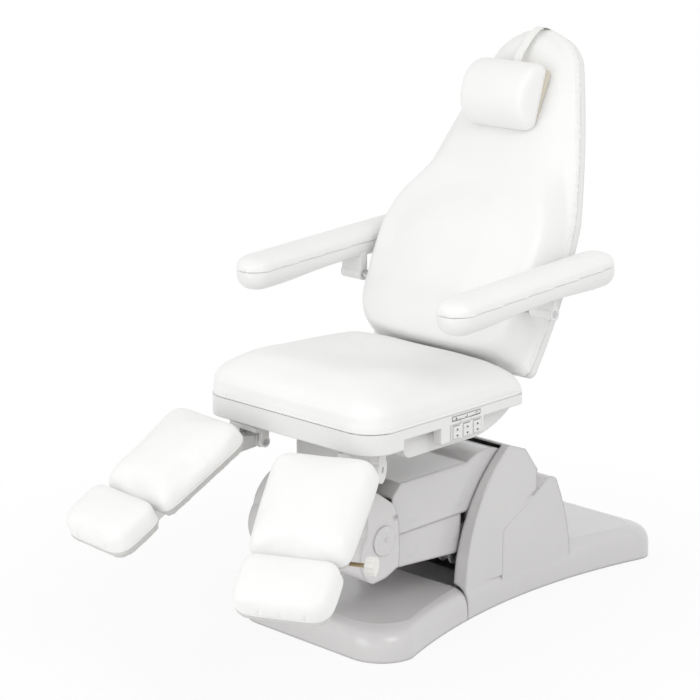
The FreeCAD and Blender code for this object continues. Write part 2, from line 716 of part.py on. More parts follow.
def carrier():
    """Lifting head: two plates from the link ends up and back to the seat hinge."""
    y, low, tilt_y, tilt_z = front_y, val("pivot_z"), val("tilt_y"), val("tilt_z")
    outline = (y - 14, low - 22), [
        (y + 23, low - 22),
        (y + 23, low + 95),
        (y + 13, low + 105),
        (y + 13, tilt_z - 68),
        (tilt_y + 4, tilt_z - 16.5),
        ((tilt_y + 16.9, tilt_z + 1), (tilt_y - 4, tilt_z + 16.5)),
        (y - 20, tilt_z - 28),
        (y - 27, tilt_z - 36),
        (y - 27, low - 2),
    ]
    plates = [
        prism("carrier_plate_%d" % side, outline, shifted(SIDE, 0, 0, base), "frame_plate")
        for side, base in ((1, number(CARRIER_IN)), (-1, -number(CARRIER_OUT)))
    ]
    inside = ("-(%s)" % CARRIER_IN, CARRIER_IN)
    front = box("carrier_front", inside, (FRONT_Y + " - 27", FRONT_Y + " - 21"),
                ("pivot_z", "tilt_z - 40"))
    floor = box("carrier_floor", inside, (FRONT_Y + " - 14", FRONT_Y + " + 23"),
                ("pivot_z - 22", "pivot_z - 14"))
    bar = box("carrier_bar", inside, ("tilt_y - 75", "tilt_y - 55"), ("tilt_z - 36", "tilt_z - 24"))
    whole = fuse("carrier_weldment", *plates, front, floor, bar)
    holes = [
        rod("carrier_hole_%d" % index, "x", (-200, 200), place, radius)
        for index, (place, radius) in enumerate((
            ((FRONT_Y, LOW_Z), "stub_radius"),
            ((FRONT_Y, HIGH_Z), "stub_radius"),
            (("tilt_y", "tilt_z"), "hinge_radius")))
    ]
    node("carrier", cut("carrier", whole, *holes))


def carrier_pins():
    """Stub pins of both link ends and of the seat hinge."""
    stubs = []
    outer = "bar_in + bar_thick + side_gap"
    for index, (place, radius, reach) in enumerate((
            ((FRONT_Y, LOW_Z), "stub_radius", outer),
            ((FRONT_Y, HIGH_Z), "stub_radius", outer),
            (("tilt_y", "tilt_z"), "hinge_radius", CARRIER_OUT + " + 12"))):
        mirror = ("-(%s)" % reach, "-(%s)" % CARRIER_IN)
        stubs.append(rod("stub_%d_left" % index, "x", (CARRIER_IN, reach), place, radius))
        stubs.append(rod("stub_%d_right" % index, "x", mirror, place, radius))
    node("carrier_pins", fuse("carrier_pins", *stubs))


def nose_profile(inset):
    """Side view of the nose cover: bulging front, sloping top, cheeks behind."""
    y, low = front_y, val("pivot_z")
    return (y - 69 + inset, low - 19 + inset), [
        ((y - 107 + inset, low + 23), (y - 93 + inset, low + 99)),
        ((y - 75 + inset, low + 155), (y - 47 + inset, low + 199 - inset)),
        (y - 31, low + 196 - inset),
        (y + 19 - inset, low + 153 - inset),
        (y + 25 - inset, low + 35),
        (y + 21 - inset, low + 3 + inset),
        (y - 23, low - 15 + inset),
    ]


def nose_arch(inset):
    """Front view of the nose cover: straight sides under round shoulders."""
    half, low = val("nose_half") - inset, val("pivot_z")
    return (-half, low - 60), [
        (half, low - 60),
        (half, low + 105),
        ((half - 17, low + 165 - inset * 0.5), (half - 58, low + 216 - inset)),
        (58 - half, low + 216 - inset),
        ((17 - half, low + 165 - inset * 0.5), (-half, low + 105)),
    ]


def nose_solid(name, inset):
    side = side_prism(name + "_side", nose_profile(inset), "nose_half + 10")
    facing = FreeCAD.Placement(V(0, front_y + 60, 0), FreeCAD.Rotation(V(1, 0, 0), 90))
    return common(name, side, prism(name + "_arch", nose_arch(inset), facing, "300"))


def nose_cover():
    """Hood of the carrier head: closed in front, open below and behind for the arm and neck."""
    wall = "nose_half - arm_wall"
    room = ARM_HALF + " + 6"
    rear = FRONT_Y + " + 40"
    shell = cut("nose_shell", nose_solid("nose_outer", 0), nose_solid("nose_inner", val("arm_wall")))
    below = box("nose_below", ("-(%s)" % wall, wall), (FRONT_Y + " - 29", rear),
                ("pivot_z - 60", "pivot_z + 20"))
    behind = box("nose_behind", ("-(%s)" % wall, wall), (FRONT_Y + " + 5", rear),
                 ("pivot_z", "pivot_z + 130"))
    above = box("nose_above", ("-(%s)" % room, room), (FRONT_Y + " - 31", rear),
                ("pivot_z + 110", "pivot_z + 230"))
    brackets = [
        box("nose_bracket_%d" % side, (side * 70 - 12, side * 70 + 12),
            (FRONT_Y + " - 109", FRONT_Y + " - 27"), ("pivot_z + 50", "pivot_z + 62"))
        for side in (1, -1)
    ]
    node("nose_cover", fuse("nose_cover", cut("nose_open", shell, below, behind, above), *brackets))


def pivot_caps():
    """Round caps on the cheeks of the nose, each with a screw head."""
    caps = []
    for side in (1, -1):
        low, high = "nose_half", "nose_half + 4"
        span = (low, high) if side > 0 else ("-(%s)" % high, "-(%s)" % low)
        disc = rod("cap_disc_%d" % side, "x", span, (FRONT_Y + " - 32", "pivot_z + 80"), "cap_radius")
        head_span = (low, high + " + 2") if side > 0 else ("-(%s) - 2" % high, "-(%s)" % low)
        head = rod("cap_screw_%d" % side, "x", head_span, (FRONT_Y + " - 26", "pivot_z + 82"), "5")
        caps += [disc, head]
    node("pivot_caps", fuse("pivot_caps", *caps))


def tilt_drive():
    """Upright screw jack in the carrier: motor below, guide tube above."""
    motor = box("tilt_motor", (-27, 27), ("jack_y - 20", "jack_y + 24"), ("pivot_z - 14", "pivot_z + 55"))
    tube = rod("tilt_tube", "z", ("pivot_z + 50", "pivot_z + 240"), ("0", "jack_y"), "tube_radius - 1")
    bore = rod("tilt_bore", "z", ("pivot_z + 60", "pivot_z + 250"), ("0", "jack_y"),
               "rod_radius + running_gap")
    node("tilt_drive", cut("tilt_drive", fuse("tilt_drive_solid", motor, tube), bore))


JACK_PIN_Z = "tilt_z + 2"
JACK_SLIDE = 6.5


def tilt_rod():
    """Jack rod whose head holds the seat's pin in a level slot."""
    shank = rod("jack_shank", "z", ("pivot_z + 110", "tilt_z - 6"), ("0", "jack_y"), "rod_radius")
    head = box("jack_head", (-12, 12), ("jack_y - 13", "jack_y + 19"),
               (JACK_PIN_Z + " - 11", JACK_PIN_Z + " + 10"))
    radius = val("drive_pin") - 2 + 0.5
    y, z = val("jack_y"), number(JACK_PIN_Z)
    slot = prism("jack_slot", ((y, z + radius), [
        ((y - radius, z), (y, z - radius)),
        (y + JACK_SLIDE, z - radius),
        ((y + JACK_SLIDE + radius, z), (y + JACK_SLIDE, z + radius)),
    ]), shifted(SIDE, 0, 0, -30), "60")
    node("tilt_rod", cut("tilt_rod", fuse("tilt_rod_solid", shank, head), slot))


# Seat

FRAME_TOP = "seat_z - board_thick"
FRAME_LOW = "seat_z - board_thick - tube_size"


def square_tube(name, axis, span, middle):
    """A hollow square tube of the seat frame, along X or Y."""
    half, wall = "tube_size / 2", "tube_wall"
    sizes = []
    for inset in ("0", wall):
        width = ("%s - %s + %s" % (middle, half, inset), "%s + %s - %s" % (middle, half, inset))
        height = ("%s + %s" % (FRAME_LOW, inset), "%s - %s" % (FRAME_TOP, inset))
        parts = (span, width, height) if axis == "x" else (width, span, height)
        sizes.append(box("%s_%s" % (name, "outer" if inset == "0" else "inner"), *parts))
    return sizes


def seat_outline(inset):
    """Plan of the seat. Its corners get rounder inwards, so the cushion's top falls off there."""
    half, front, rear = val("seat_half") - inset, val("seat_front") + inset, val("seat_rear") - inset
    front_corner = val("seat_corner") + inset * 0.2
    rear_corner = min(val("rear_corner") + inset * 0.9, 110)
    points = [(-half, front), (half, front), (half, rear), (-half, rear)]
    return rounded(points, [front_corner, front_corner, rear_corner, rear_corner])


def seat_frame():
    """Two rails and five cross tubes, with the lugs of every hinge and drive."""
    length = ("seat_front + 30", "seat_rear - 26")
    rails = [square_tube("rail_%d" % side, "y", length, "%d * rail_x" % side) for side in (1, -1)]
    wide = ("-(%s - pan_wall)" % FAIRING_HALF, FAIRING_HALF + " - pan_wall")
    narrow = ("-rail_x", "rail_x")
    crosses = [
        square_tube("cross_%d" % index, "x", span, middle)
        for index, (span, middle) in enumerate((
            (narrow, "seat_front + 45"), (wide, "jack_y + 4"), (narrow, "jack_y + 70"),
            (narrow, "tilt_y"), (wide, "seat_rear - 45")))
    ]
    outer = [pair[0] for pair in rails + crosses]
    inner = [pair[1] for pair in rails + crosses]
    tubes = cut("seat_tubes", fuse("seat_tubes_outer", *outer), *inner)
    lugs = []
    for side in (1, -1):
        def across(low, high):
            return (low, high) if side > 0 else ("-(%s)" % high, "-(%s)" % low)
        name = "left" if side > 0 else "right"
        back_plate = across("rail_x - tube_size / 2", "rail_x - 3")
        lugs += [
            box("tilt_lug_" + name, across("bar_in - side_gap + 1", "bar_in + 8"),
                ("tilt_y - 17", "tilt_y + 17"), ("tilt_z - 16", FRAME_LOW + " + 3")),
            box("jack_lug_" + name, across("14", "21"), ("jack_y - 12", "jack_y + 12"),
                (JACK_PIN_Z + " - 12", FRAME_LOW + " + 1")),
            box("back_lug_" + name, back_plate, ("hinge_y - 16", "hinge_y + 16"),
                (FRAME_LOW, "hinge_z + 16")),
            box("back_arm_" + name, back_plate, ("seat_rear - 45", "hinge_y + 16"),
                (FRAME_LOW, "seat_z - pan_drop - 1")),
            box("swivel_boss_" + name, across("rail_x - 32", "rail_x + 32"), ("leg_y - 30", "leg_y + 30"),
                ("leg_z + 40.3", FRAME_LOW + " + 1")),
        ]
    pin = rod("jack_pin", "x", (-21, 21), ("jack_y", JACK_PIN_Z), "drive_pin - 2")
    hanger = box("back_drive_hanger", (-24, 24), ("jack_y + 56", "jack_y + 84"),
                 (FRAME_LOW + " - 6", FRAME_LOW + " + 1"))
    whole = fuse("seat_weldment", tubes, pin, hanger, *lugs)
    holes = [
        rod("seat_tilt_hole", "x", (-200, 200), ("tilt_y", "tilt_z"), "hinge_radius + running_gap"),
        rod("seat_back_hole", "x", (-200, 200), ("hinge_y", "hinge_z"), "hinge_radius"),
        rod("swivel_hole_left", "z", ("leg_z", FRAME_LOW), ("rail_x", "leg_y"), "swivel_radius"),
        rod("swivel_hole_right", "z", ("leg_z", FRAME_LOW), ("-rail_x", "leg_y"), "swivel_radius"),
    ]
    node("seat_frame", cut("seat_frame", whole, *holes))


def pins_of_the_seat():
    """Back hinge pins and leg swivel pins, fixed in the seat frame."""
    low, high = "rail_x - tube_size / 2 - 16", "rail_x - 3"
    mirror = ("-(%s)" % high, "-(%s)" % low)
    node("back_hinge_pins", fuse(
        "back_hinge_pins",
        rod("back_pin_left", "x", (low, high), ("hinge_y", "hinge_z"), "hinge_radius"),
        rod("back_pin_right", "x", mirror, ("hinge_y", "hinge_z"), "hinge_radius")))
    node("swivel_pins", fuse(
        "swivel_pins",
        rod("swivel_left", "z", ("leg_z + 28", FRAME_LOW), ("rail_x", "leg_y"), "swivel_radius"),
        rod("swivel_right", "z", ("leg_z + 28", FRAME_LOW), ("-rail_x", "leg_y"), "swivel_radius")))


def seat_board():
    rest = shifted(WORLD, 0, 0, number(FRAME_TOP))
    node("seat_board", prism("seat_board", seat_outline(val("pan_wall") + 1), rest, "board_thick"))


def seat_cushion():
    """Upholstered seat: drawn-in lower edge, full sides and a crowned top that rises to the front."""
    top = val("cushion_height")
    levels = [(0.3, 5), (14, 0), (38, 0), (top - 29, 9), (top - 13, 32), (top - 4, 76), (top, 140)]
    rest = shifted(WORLD, 0, 0, val("seat_z"))
    middle = (val("seat_front") + val("seat_rear")) / 2
    cushion = stack("seat_cushion", seat_outline, rest, levels, val("cushion_rise"), middle)
    node("seat_cushion", cushion)


POD_FRONT = "switch_y - 1.5 * switch_pitch - 34"
POD_REAR = "switch_y + 1.5 * switch_pitch + 11"


def seat_pan():
    """Skirt round the seat: deeper at the front, with a pod for the switches on the left."""
    wall = val("pan_wall")
    low = val("seat_z") - val("pan_drop")
    skirt = prism("pan_skirt", seat_outline(0), shifted(WORLD, 0, 0, low), "pan_drop")
    skirt_in = prism("pan_skirt_in", seat_outline(wall), shifted(WORLD, 0, 0, low - 1), "pan_drop + 2")
    deep = val("seat_z") - val("apron_drop")
    apron = prism("pan_apron", seat_outline(0), shifted(WORLD, 0, 0, deep), "apron_drop - pan_drop")
    apron_in = prism("pan_apron_in", seat_outline(wall), shifted(WORLD, 0, 0, deep - 1),
                     "apron_drop - pan_drop + 2")
    front = common("pan_front", cut("pan_apron_ring", apron, apron_in),
                   half_space("pan_front_space", ("seat_front - 10", "apron_end")))
    ledge_z = number(FRAME_TOP) - wall
    ledge = prism("pan_ledge", seat_outline(wall), shifted(WORLD, 0, 0, ledge_z), "pan_wall")
    ledge_in = prism("pan_ledge_in", seat_outline(24), shifted(WORLD, 0, 0, ledge_z - 1), "pan_wall + 2")
    ring = cut("pan_ledge_ring", ledge, ledge_in)
    pod = box("pan_pod", ("seat_half - 24", "seat_half"), (POD_FRONT, POD_REAR),
              ("switch_z - 21", FRAME_TOP + " - pan_wall"))
    pocket = box("pan_pocket", ("seat_half - 20", "seat_half + 5"),
                 ("switch_y - 1.5 * switch_pitch - 0.2", "switch_y + 1.5 * switch_pitch + 0.2"),
                 ("switch_z - rocker_tall / 2 - 3.2", "switch_z + rocker_tall / 2 + 3.2"))
    lever_notch = box("pan_lever_notch", (-28, 28), ("seat_rear - pan_wall - 4", "seat_rear + 5"),
                      (low - 1, low + 16))
    whole = fuse("pan_whole", cut("pan_ring", skirt, skirt_in), front, ring, pod)
    node("seat_pan", cut("seat_pan", whole, pocket, lever_notch))


def seat_fairing():
    """Boat-shaped cover under the seat, with a tunnel for the lifting head."""
    wall = val("pan_wall")
    low, top = val("fairing_z"), val("seat_z") - val("pan_drop")
    front, rear = val("jack_y") - 20, val("seat_rear") + 4

    def outline(inset, lift):
        return (front + inset, top + lift), [
            (front + inset, low + 22),
            ((front + 7 + inset * 0.8, low + 7 + inset * 0.8), (front + 22, low + inset)),
            (rear - 150, low + inset),
            ((rear - 80, low + 14 + inset), (rear - inset * 1.5, top - 10)),
            (rear - inset * 1.5, top + lift),
        ]

    outer = side_prism("fairing_outer", outline(0, 0), FAIRING_HALF)
    inner = side_prism("fairing_inner", outline(wall, 5), FAIRING_HALF + " - pan_wall")
    length = (front - 5, rear + 5)
    tunnel = box("fairing_tunnel", ("-(bar_in + 14)", "bar_in + 14"), length, ("fairing_z - 5", top + 5))
    notches = []
    for side in (1, -1):
        middle = "%d * rail_x" % side
        width = (middle + " - tube_size / 2 - 2", middle + " + tube_size / 2 + 2")
        notches.append(box("fairing_notch_%d" % side, width, length, (FRAME_LOW + " - 2", top + 5)))
    node("seat_fairing", cut("seat_fairing", outer, inner, tunnel, *notches))


def back_drive():
    """Drive of the backrest: gearbox under a cross tube and a level guide tube."""
    z = "hinge_z - back_drop"
    gearbox = box("back_gearbox", (-25, 25), ("jack_y + 45", "jack_y + 95"),
                  (z + " - 24", FRAME_LOW + " - 6"))
    tube = rod("back_tube", "y", ("jack_y + 90", "hinge_y - 66"), ("0", z), "tube_radius - 3")
    bore = rod("back_bore", "y", ("jack_y + 100", "hinge_y - 60"), ("0", z), "rod_radius + running_gap")
    motor = rod("back_motor", "y", ("jack_y + 94", "jack_y + 175"), ("-42", z), "22")
    flange = box("back_flange", (-66, -20), ("jack_y + 84", "jack_y + 95"), (z + " - 22", z + " + 18"))
    solid = fuse("back_drive_solid", gearbox, tube, motor, flange)
    node("back_drive", cut("back_drive", solid, bore))


back_pin_y = val("hinge_y") + val("back_drop") * math.tan(math.radians(val("back_lever_lean")))


def back_rod():
    """Rod of the back drive, with a cross pin in the back lever's slots."""
    y, z = back_pin_y, "hinge_z - back_drop"
    shank = rod("back_shank", "y", (y - 240, y), ("0", z), "rod_radius")
    head = box("back_head", (-12, 12), (y - 12, y + 12), (z + " - 13", z + " + 13"))
    pin = rod("back_cross_pin", "x", (-25, 25), (y, z), "drive_pin")
    node("back_rod", fuse("back_rod", shank, head, pin))


def switches():
    """Bezel block with a bare label strip, and three rockers on its trunnion line."""
    face = "seat_half + 2"
    half_tall = "rocker_tall / 2"
    row = ("switch_y - 1.4 * switch_pitch", "switch_y + 1.4 * switch_pitch")
    block = box("bezel_block", ("seat_half - 18", face),
                ("switch_y - 1.5 * switch_pitch", "switch_y + 1.5 * switch_pitch"),
                ("switch_z - rocker_tall / 2 - 3", "switch_z + rocker_tall / 2 + 3"))
    strip = box("label_strip", ("seat_half", "seat_half + 1.2"), row, ("seat_z - 15", "seat_z - 3"))
    web = box("label_web", ("seat_half + 0.2", "seat_half + 1"), ("switch_y - 20", "switch_y + 20"),
              ("switch_z + %s" % half_tall, "seat_z - 10"))
    windows = []
    for index in (-1, 0, 1):
        at = "switch_y + (%d) * switch_pitch" % index
        windows.append(box(
            "rocker_window_%d" % index, ("seat_half - 12", "seat_half + 5"),
            (at + " - rocker_wide / 2 - 0.5", at + " + rocker_wide / 2 + 0.5"),
            ("switch_z - %s - 1.1" % half_tall, "switch_z + %s + 1.1" % half_tall)))
    line = rod("trunnion_line", "y", row, ("seat_half - 4", "switch_z"), "2 + running_gap")
    node("switch_bezel", cut("switch_bezel", fuse("bezel_solid", block, strip, web), line, *windows))
    for index, name in zip((-1, 0, 1), ("lift", "back", "tilt")):
        middle = val("switch_y") + index * val("switch_pitch")
        x, z, tall = val("seat_half"), val("switch_z"), val("rocker_tall") / 2
        outline = (x - 8, z - tall + 3), [
            (x + 3, z - tall),
            ((x + 5.2, z - tall * 0.45), (x + 3.5, z)),
            ((x + 5.2, z + tall * 0.45), (x + 3, z + tall)),
            (x - 8, z + tall - 3),
        ]
        facing = FreeCAD.Rotation(V(1, 0, 0), V(0, 0, 1), V(0, -1, 0))
        across = FreeCAD.Placement(V(0, middle + val("rocker_wide") / 2, 0), facing)
        key = prism("rocker_key_" + name, outline, across, "rocker_wide")
        trunnion = rod("rocker_trunnion_" + name, "y", (middle - 14, middle + 14),
                       ("seat_half - 4", "switch_z"), "2")
        node("rocker_" + name, fuse("rocker_" + name, key, trunnion))


# Backrest, drawn flat in its own frame: X across, Y up the back, Z forward

def back_outline(inset):
    """Broad at the arms, tapering straight to a round top."""
    top, half = val("back_top"), val("back_half")
    middle = top / 2 + 5
    wide, tall = (half - inset) / half, (middle - inset) / middle

    def at(x, up):
        return x * wide, middle + (up - middle) * tall

    shoulder, hip = half - 145, half - 12
    right = [
        at(hip - 22, 10),
        (at(hip - 6, 16), at(hip, 34)),
        (at(half, 200), at(half - 8, 400)),
        (at(half - 56, 570), at(shoulder, top - 68)),
        (at(0, top), at(-shoulder, top - 68)),
        (at(56 - half, 570), at(8 - half, 400)),
        (at(-half, 200), at(-hip, 34)),
        (at(6 - hip, 16), at(22 - hip, 10)),
    ]
    return at(22 - hip, 10), right


def mirrored_boxes(name, x, y, z):
    """A box of the backrest and its mirror image across the middle."""
    return [
        local_box("%s_%d" % (name, side), BACK, (x if side > 0 else (-x[1], -x[0])), y, z)
        for side in (1, -1)
    ]


HINGE = BACK.inverse().multVec(V(0, val("hinge_y"), val("hinge_z")))
ARM = BACK.inverse().multVec(V(0, val("arm_pivot_y"), number(ARM_Z)))
BRACKET_IN = val("rail_x") - val("tube_size") / 2 - 2 - 12
OUTRIGGER_OUT = val("back_half") - val("outrigger_inset")
OUTRIGGER_IN = OUTRIGGER_OUT - val("outrigger_thick")


def outriggers(name, play, x, z):
    """The room of both armrest outriggers in the backrest, with a play all round."""
    half = val("outrigger_half") + play
    return mirrored_boxes(name, x, (ARM.y - half, ARM.y + half), z)


def back_frame():
    """Flat bar ladder behind the board, hinge brackets, lever and armrest outriggers."""
    x0 = BRACKET_IN - 28
    rails = mirrored_boxes("back_rail", (x0, x0 + 40), (HINGE.y - 18, val("back_top") - 130), (4, 12))
    brackets = mirrored_boxes("back_bracket", (BRACKET_IN, BRACKET_IN + 12),
                              (HINGE.y - 18, HINGE.y + 20), (4, HINGE.z + 18))
    crosses = [
        local_box("back_cross_%d" % index, BACK, (-reach, reach), (middle - 20, middle + 20), (4, 12))
        for index, (middle, reach) in enumerate((
            (ARM.y, OUTRIGGER_OUT), (val("back_top") * 0.5, x0 + 20), (val("back_top") - 150, x0 + 20)))
    ]
    arms = outriggers("arm_outrigger", 0, (OUTRIGGER_IN, OUTRIGGER_OUT),
                      (4, ARM.z + val("outrigger_half")))
    torque = rod("back_torque", "x", (-BRACKET_IN, BRACKET_IN), ("hinge_y", "hinge_z"), "16")
    radius = val("drive_pin") + val("slot_gap") + 0.4
    drop = val("back_drop")
    plates, slot = lever(
        "back_lever", (val("hinge_y"), val("hinge_z")), val("back_lever_lean"),
        drop + 12, 36, (drop - 3, drop / math.cos(math.radians(35)) + 1, radius), 6)
    whole = fuse("back_weldment", *rails, *brackets, *crosses, *arms, torque, *plates)
    hinge = rod("back_hinge_hole", "x", (-300, 300), ("hinge_y", "hinge_z"), "hinge_radius + running_gap")
    arm = rod("arm_hole", "x", (-400, 400), ("arm_pivot_y", ARM_Z), "arm_pin")
    node("back_frame", cut("back_frame", whole, slot, hinge, arm))


def arm_pivot_pins():
    """Pins from the outriggers out through the side of the backrest."""
    low, high = "back_half - outrigger_inset - outrigger_thick", ARM_X + " + 16"
    mirror = ("-(%s)" % high, "-(%s)" % low)
    node("arm_pivot_pins", fuse(
        "arm_pivot_pins",
        rod("arm_pin_left", "x", (low, high), ("arm_pivot_y", ARM_Z), "arm_pin"),
        rod("arm_pin_right", "x", mirror, ("arm_pivot_y", ARM_Z), "arm_pin")))


def back_board():
    board = prism("back_board_blank", back_outline(4.5), shifted(BACK, 0, 0, 12), "shell_deep - 12")
    slots = outriggers("board_slot", 1.5, (OUTRIGGER_IN - 1.5, OUTRIGGER_OUT + 1.5),
                       (11, val("shell_deep") + 1))
    node("back_board", cut("back_board", board, *slots))


def back_shell():
    """Shallow rear shell, notched where the frame leaves it."""
    outer = prism("shell_outer", back_outline(0), BACK, "shell_deep")
    inner = prism("shell_inner", back_outline(4), shifted(BACK, 0, 0, 4), "shell_deep")
    x0 = BRACKET_IN - 28
    notches = mirrored_boxes("shell_notch", (x0 - 1, x0 + 41), (-60, 30), (3.5, 13))
    node("back_shell", cut("back_shell", outer, inner, *notches))


def back_cushion():
    """Upholstered back: drawn in at the shell, full edge, crowned front, lumbar swell, pivot pockets."""
    deep, thick = val("shell_deep"), val("back_thick")
    levels = [
        (deep + 0.3, 5), (deep + 9, 0.5), (deep + 20, 1), (thick - 20, 8), (thick - 9, 26),
        (thick - 2, 60), (thick, 110)]
    pad = stack("back_pad", back_outline, BACK, levels)
    half, high = val("back_half") - 5, val("lumbar_high")
    low, top = val("lumbar_low"), val("lumbar_top")

    def swell(inset):
        points = [(inset - half, low + inset * 0.5), (half - inset, low + inset * 0.5),
                  (half - inset, top - inset * 1.3), (inset - half, top - inset * 1.3)]
        return rounded(points, [60, 60, 110, 110])

    lumbar = stack("back_lumbar", swell, BACK, [
        (deep + 20, 6), (high - 50, 1), (high - 25, 9), (high - 9, 32), (high, 80)])
    pockets = outriggers("cushion_pocket", 2, (OUTRIGGER_IN - 2, val("back_half") + 10),
                         (deep - 1, ARM.z + val("outrigger_half") + 2))
    node("back_cushion", cut("back_cushion", fuse("back_whole", pad, lumbar), *pockets))


def head_pillow():
    """Half-round pillow lying on the backrest."""
    half, reach = val("pillow_half"), (val("pillow_high") - val("pillow_low")) / 2

    def outline(inset):
        x, y = half - inset * 0.16, reach - inset
        return rectangle((-x, x), (reach - y, reach + y), max(20 - inset * 0.2, 6))

    deep = val("pillow_deep")
    lower_edge = V(0, val("pillow_low"), val("back_thick") + val("pillow_gap"))
    leaning = FreeCAD.Placement(lower_edge, FreeCAD.Rotation(V(1, 0, 0), val("pillow_tilt")))
    levels = [
        (0, 3), (deep * 0.2, 0), (deep * 0.45, 6), (deep * 0.72, 22), (deep * 0.92, 45), (deep, 66)]
    node("head_pillow", stack("head_pillow", outline, BACK.multiply(leaning), levels))


def pillow_strap():
    """Band from behind the pillow, over the top of the backrest and down the rear."""
    top, thick, deep = val("back_top"), val("back_thick"), val("shell_deep")
    tilt = math.radians(val("pillow_tilt"))

    def behind(up):
        """The strap's underside where it lies on the back of the pillow."""
        lift = (up - val("pillow_low")) * math.tan(tilt)
        return thick + val("pillow_gap") + lift - (val("strap_thick") + 0.3) / math.cos(tilt)

    first, last = val("pillow_low") + 70, val("pillow_high") - 10
    under = [
        (first, behind(first)), (last, behind(last)), (top - 92, behind(last) + 1), (top - 67, thick + 14),
        (top - 40, thick + 4), (top - 22, thick - 6), (top - 8, thick - 17), (top - 0.5, thick - 28),
        (top + 2, thick - 40), (top + 2.5, deep), (top + 1.5, -0.3), (top - 180, -0.3)]
    band = val("strap_thick")
    over = []
    for index, (up, out) in enumerate(under):
        first = under[max(index - 1, 0)]
        last = under[min(index + 1, len(under) - 1)]
        along = V(last[0] - first[0], last[1] - first[1], 0).normalize()
        over.append((up - along.y * band, out + along.x * band))
    points = [(out, up) for up, out in under + over[::-1]]
    facing = FreeCAD.Rotation(V(0, 0, 1), V(0, 1, 0), V(-1, 0, 0))
    side = BACK.multiply(FreeCAD.Placement(V(val("strap_wide") / 2, 0, 0), facing))
    node("pillow_strap", prism("pillow_strap", (points[0], points[1:]), side, "strap_wide"))


# Armrests

def armrest(side):
    name = "left" if side > 0 else "right"
    frame = arm_frame(side)
    half, reach = val("arm_wide") / 2, (val("arm_rear") - val("arm_front")) / 2

    def outline(inset):
        radius = half - inset - 3
        return rectangle((-half + inset, half - inset), (-reach + inset, reach - inset), max(radius, 4))

    high, deep = val("arm_pad_high"), val("arm_shell_deep")
    pad = [(0.3, 2.5), (10, 0), (high * 0.6, 2), (high * 0.85, 12), (high, 34)]
    node("armrest_pad_" + name, stack("armrest_pad_" + name, outline, frame, pad))
    tray_levels = [(-deep, 20), (-deep * 0.72, 6), (-12, 0), (-0.3, 2.5)]
    tray = stack("armrest_tray_" + name, outline, frame, tray_levels)
    under = -deep - 15
    relief_outline = (-reach * 0.67, under), [
        (-reach * 0.67, -deep - 1),
        ((15, val("arm_relief") - deep), (reach * 0.76, -deep - 1)),
        (reach * 0.76, under),
    ]
    across = frame.multiply(shifted(SIDE, 0, 0, -half))
    relief = prism("armrest_relief_" + name, relief_outline, across, "arm_wide")
    shell = cut("armrest_sculpted_" + name, tray, relief)
    near, far = "back_half + 8.5", ARM_X + " + 16"
    span = (near, far) if side > 0 else ("-(%s)" % far, "-(%s)" % near)
    hub = rod("armrest_hub_" + name, "x", span, ("arm_pivot_y", ARM_Z), "arm_pin + 7")
    neck = box("armrest_neck_" + name, span, ("arm_pivot_y - arm_neck", "arm_pivot_y + arm_neck"),
               (ARM_Z, "arm_seam_z - arm_shell_deep + arm_relief + 15"))
    bore = rod("armrest_bore_" + name, "x", (-500, 500), ("arm_pivot_y", ARM_Z), "arm_pin + running_gap")
    body = fuse("armrest_body_" + name, shell, hub, neck)
    node("armrest_shell_" + name, cut("armrest_shell_" + name, body, bore))


# Leg rests

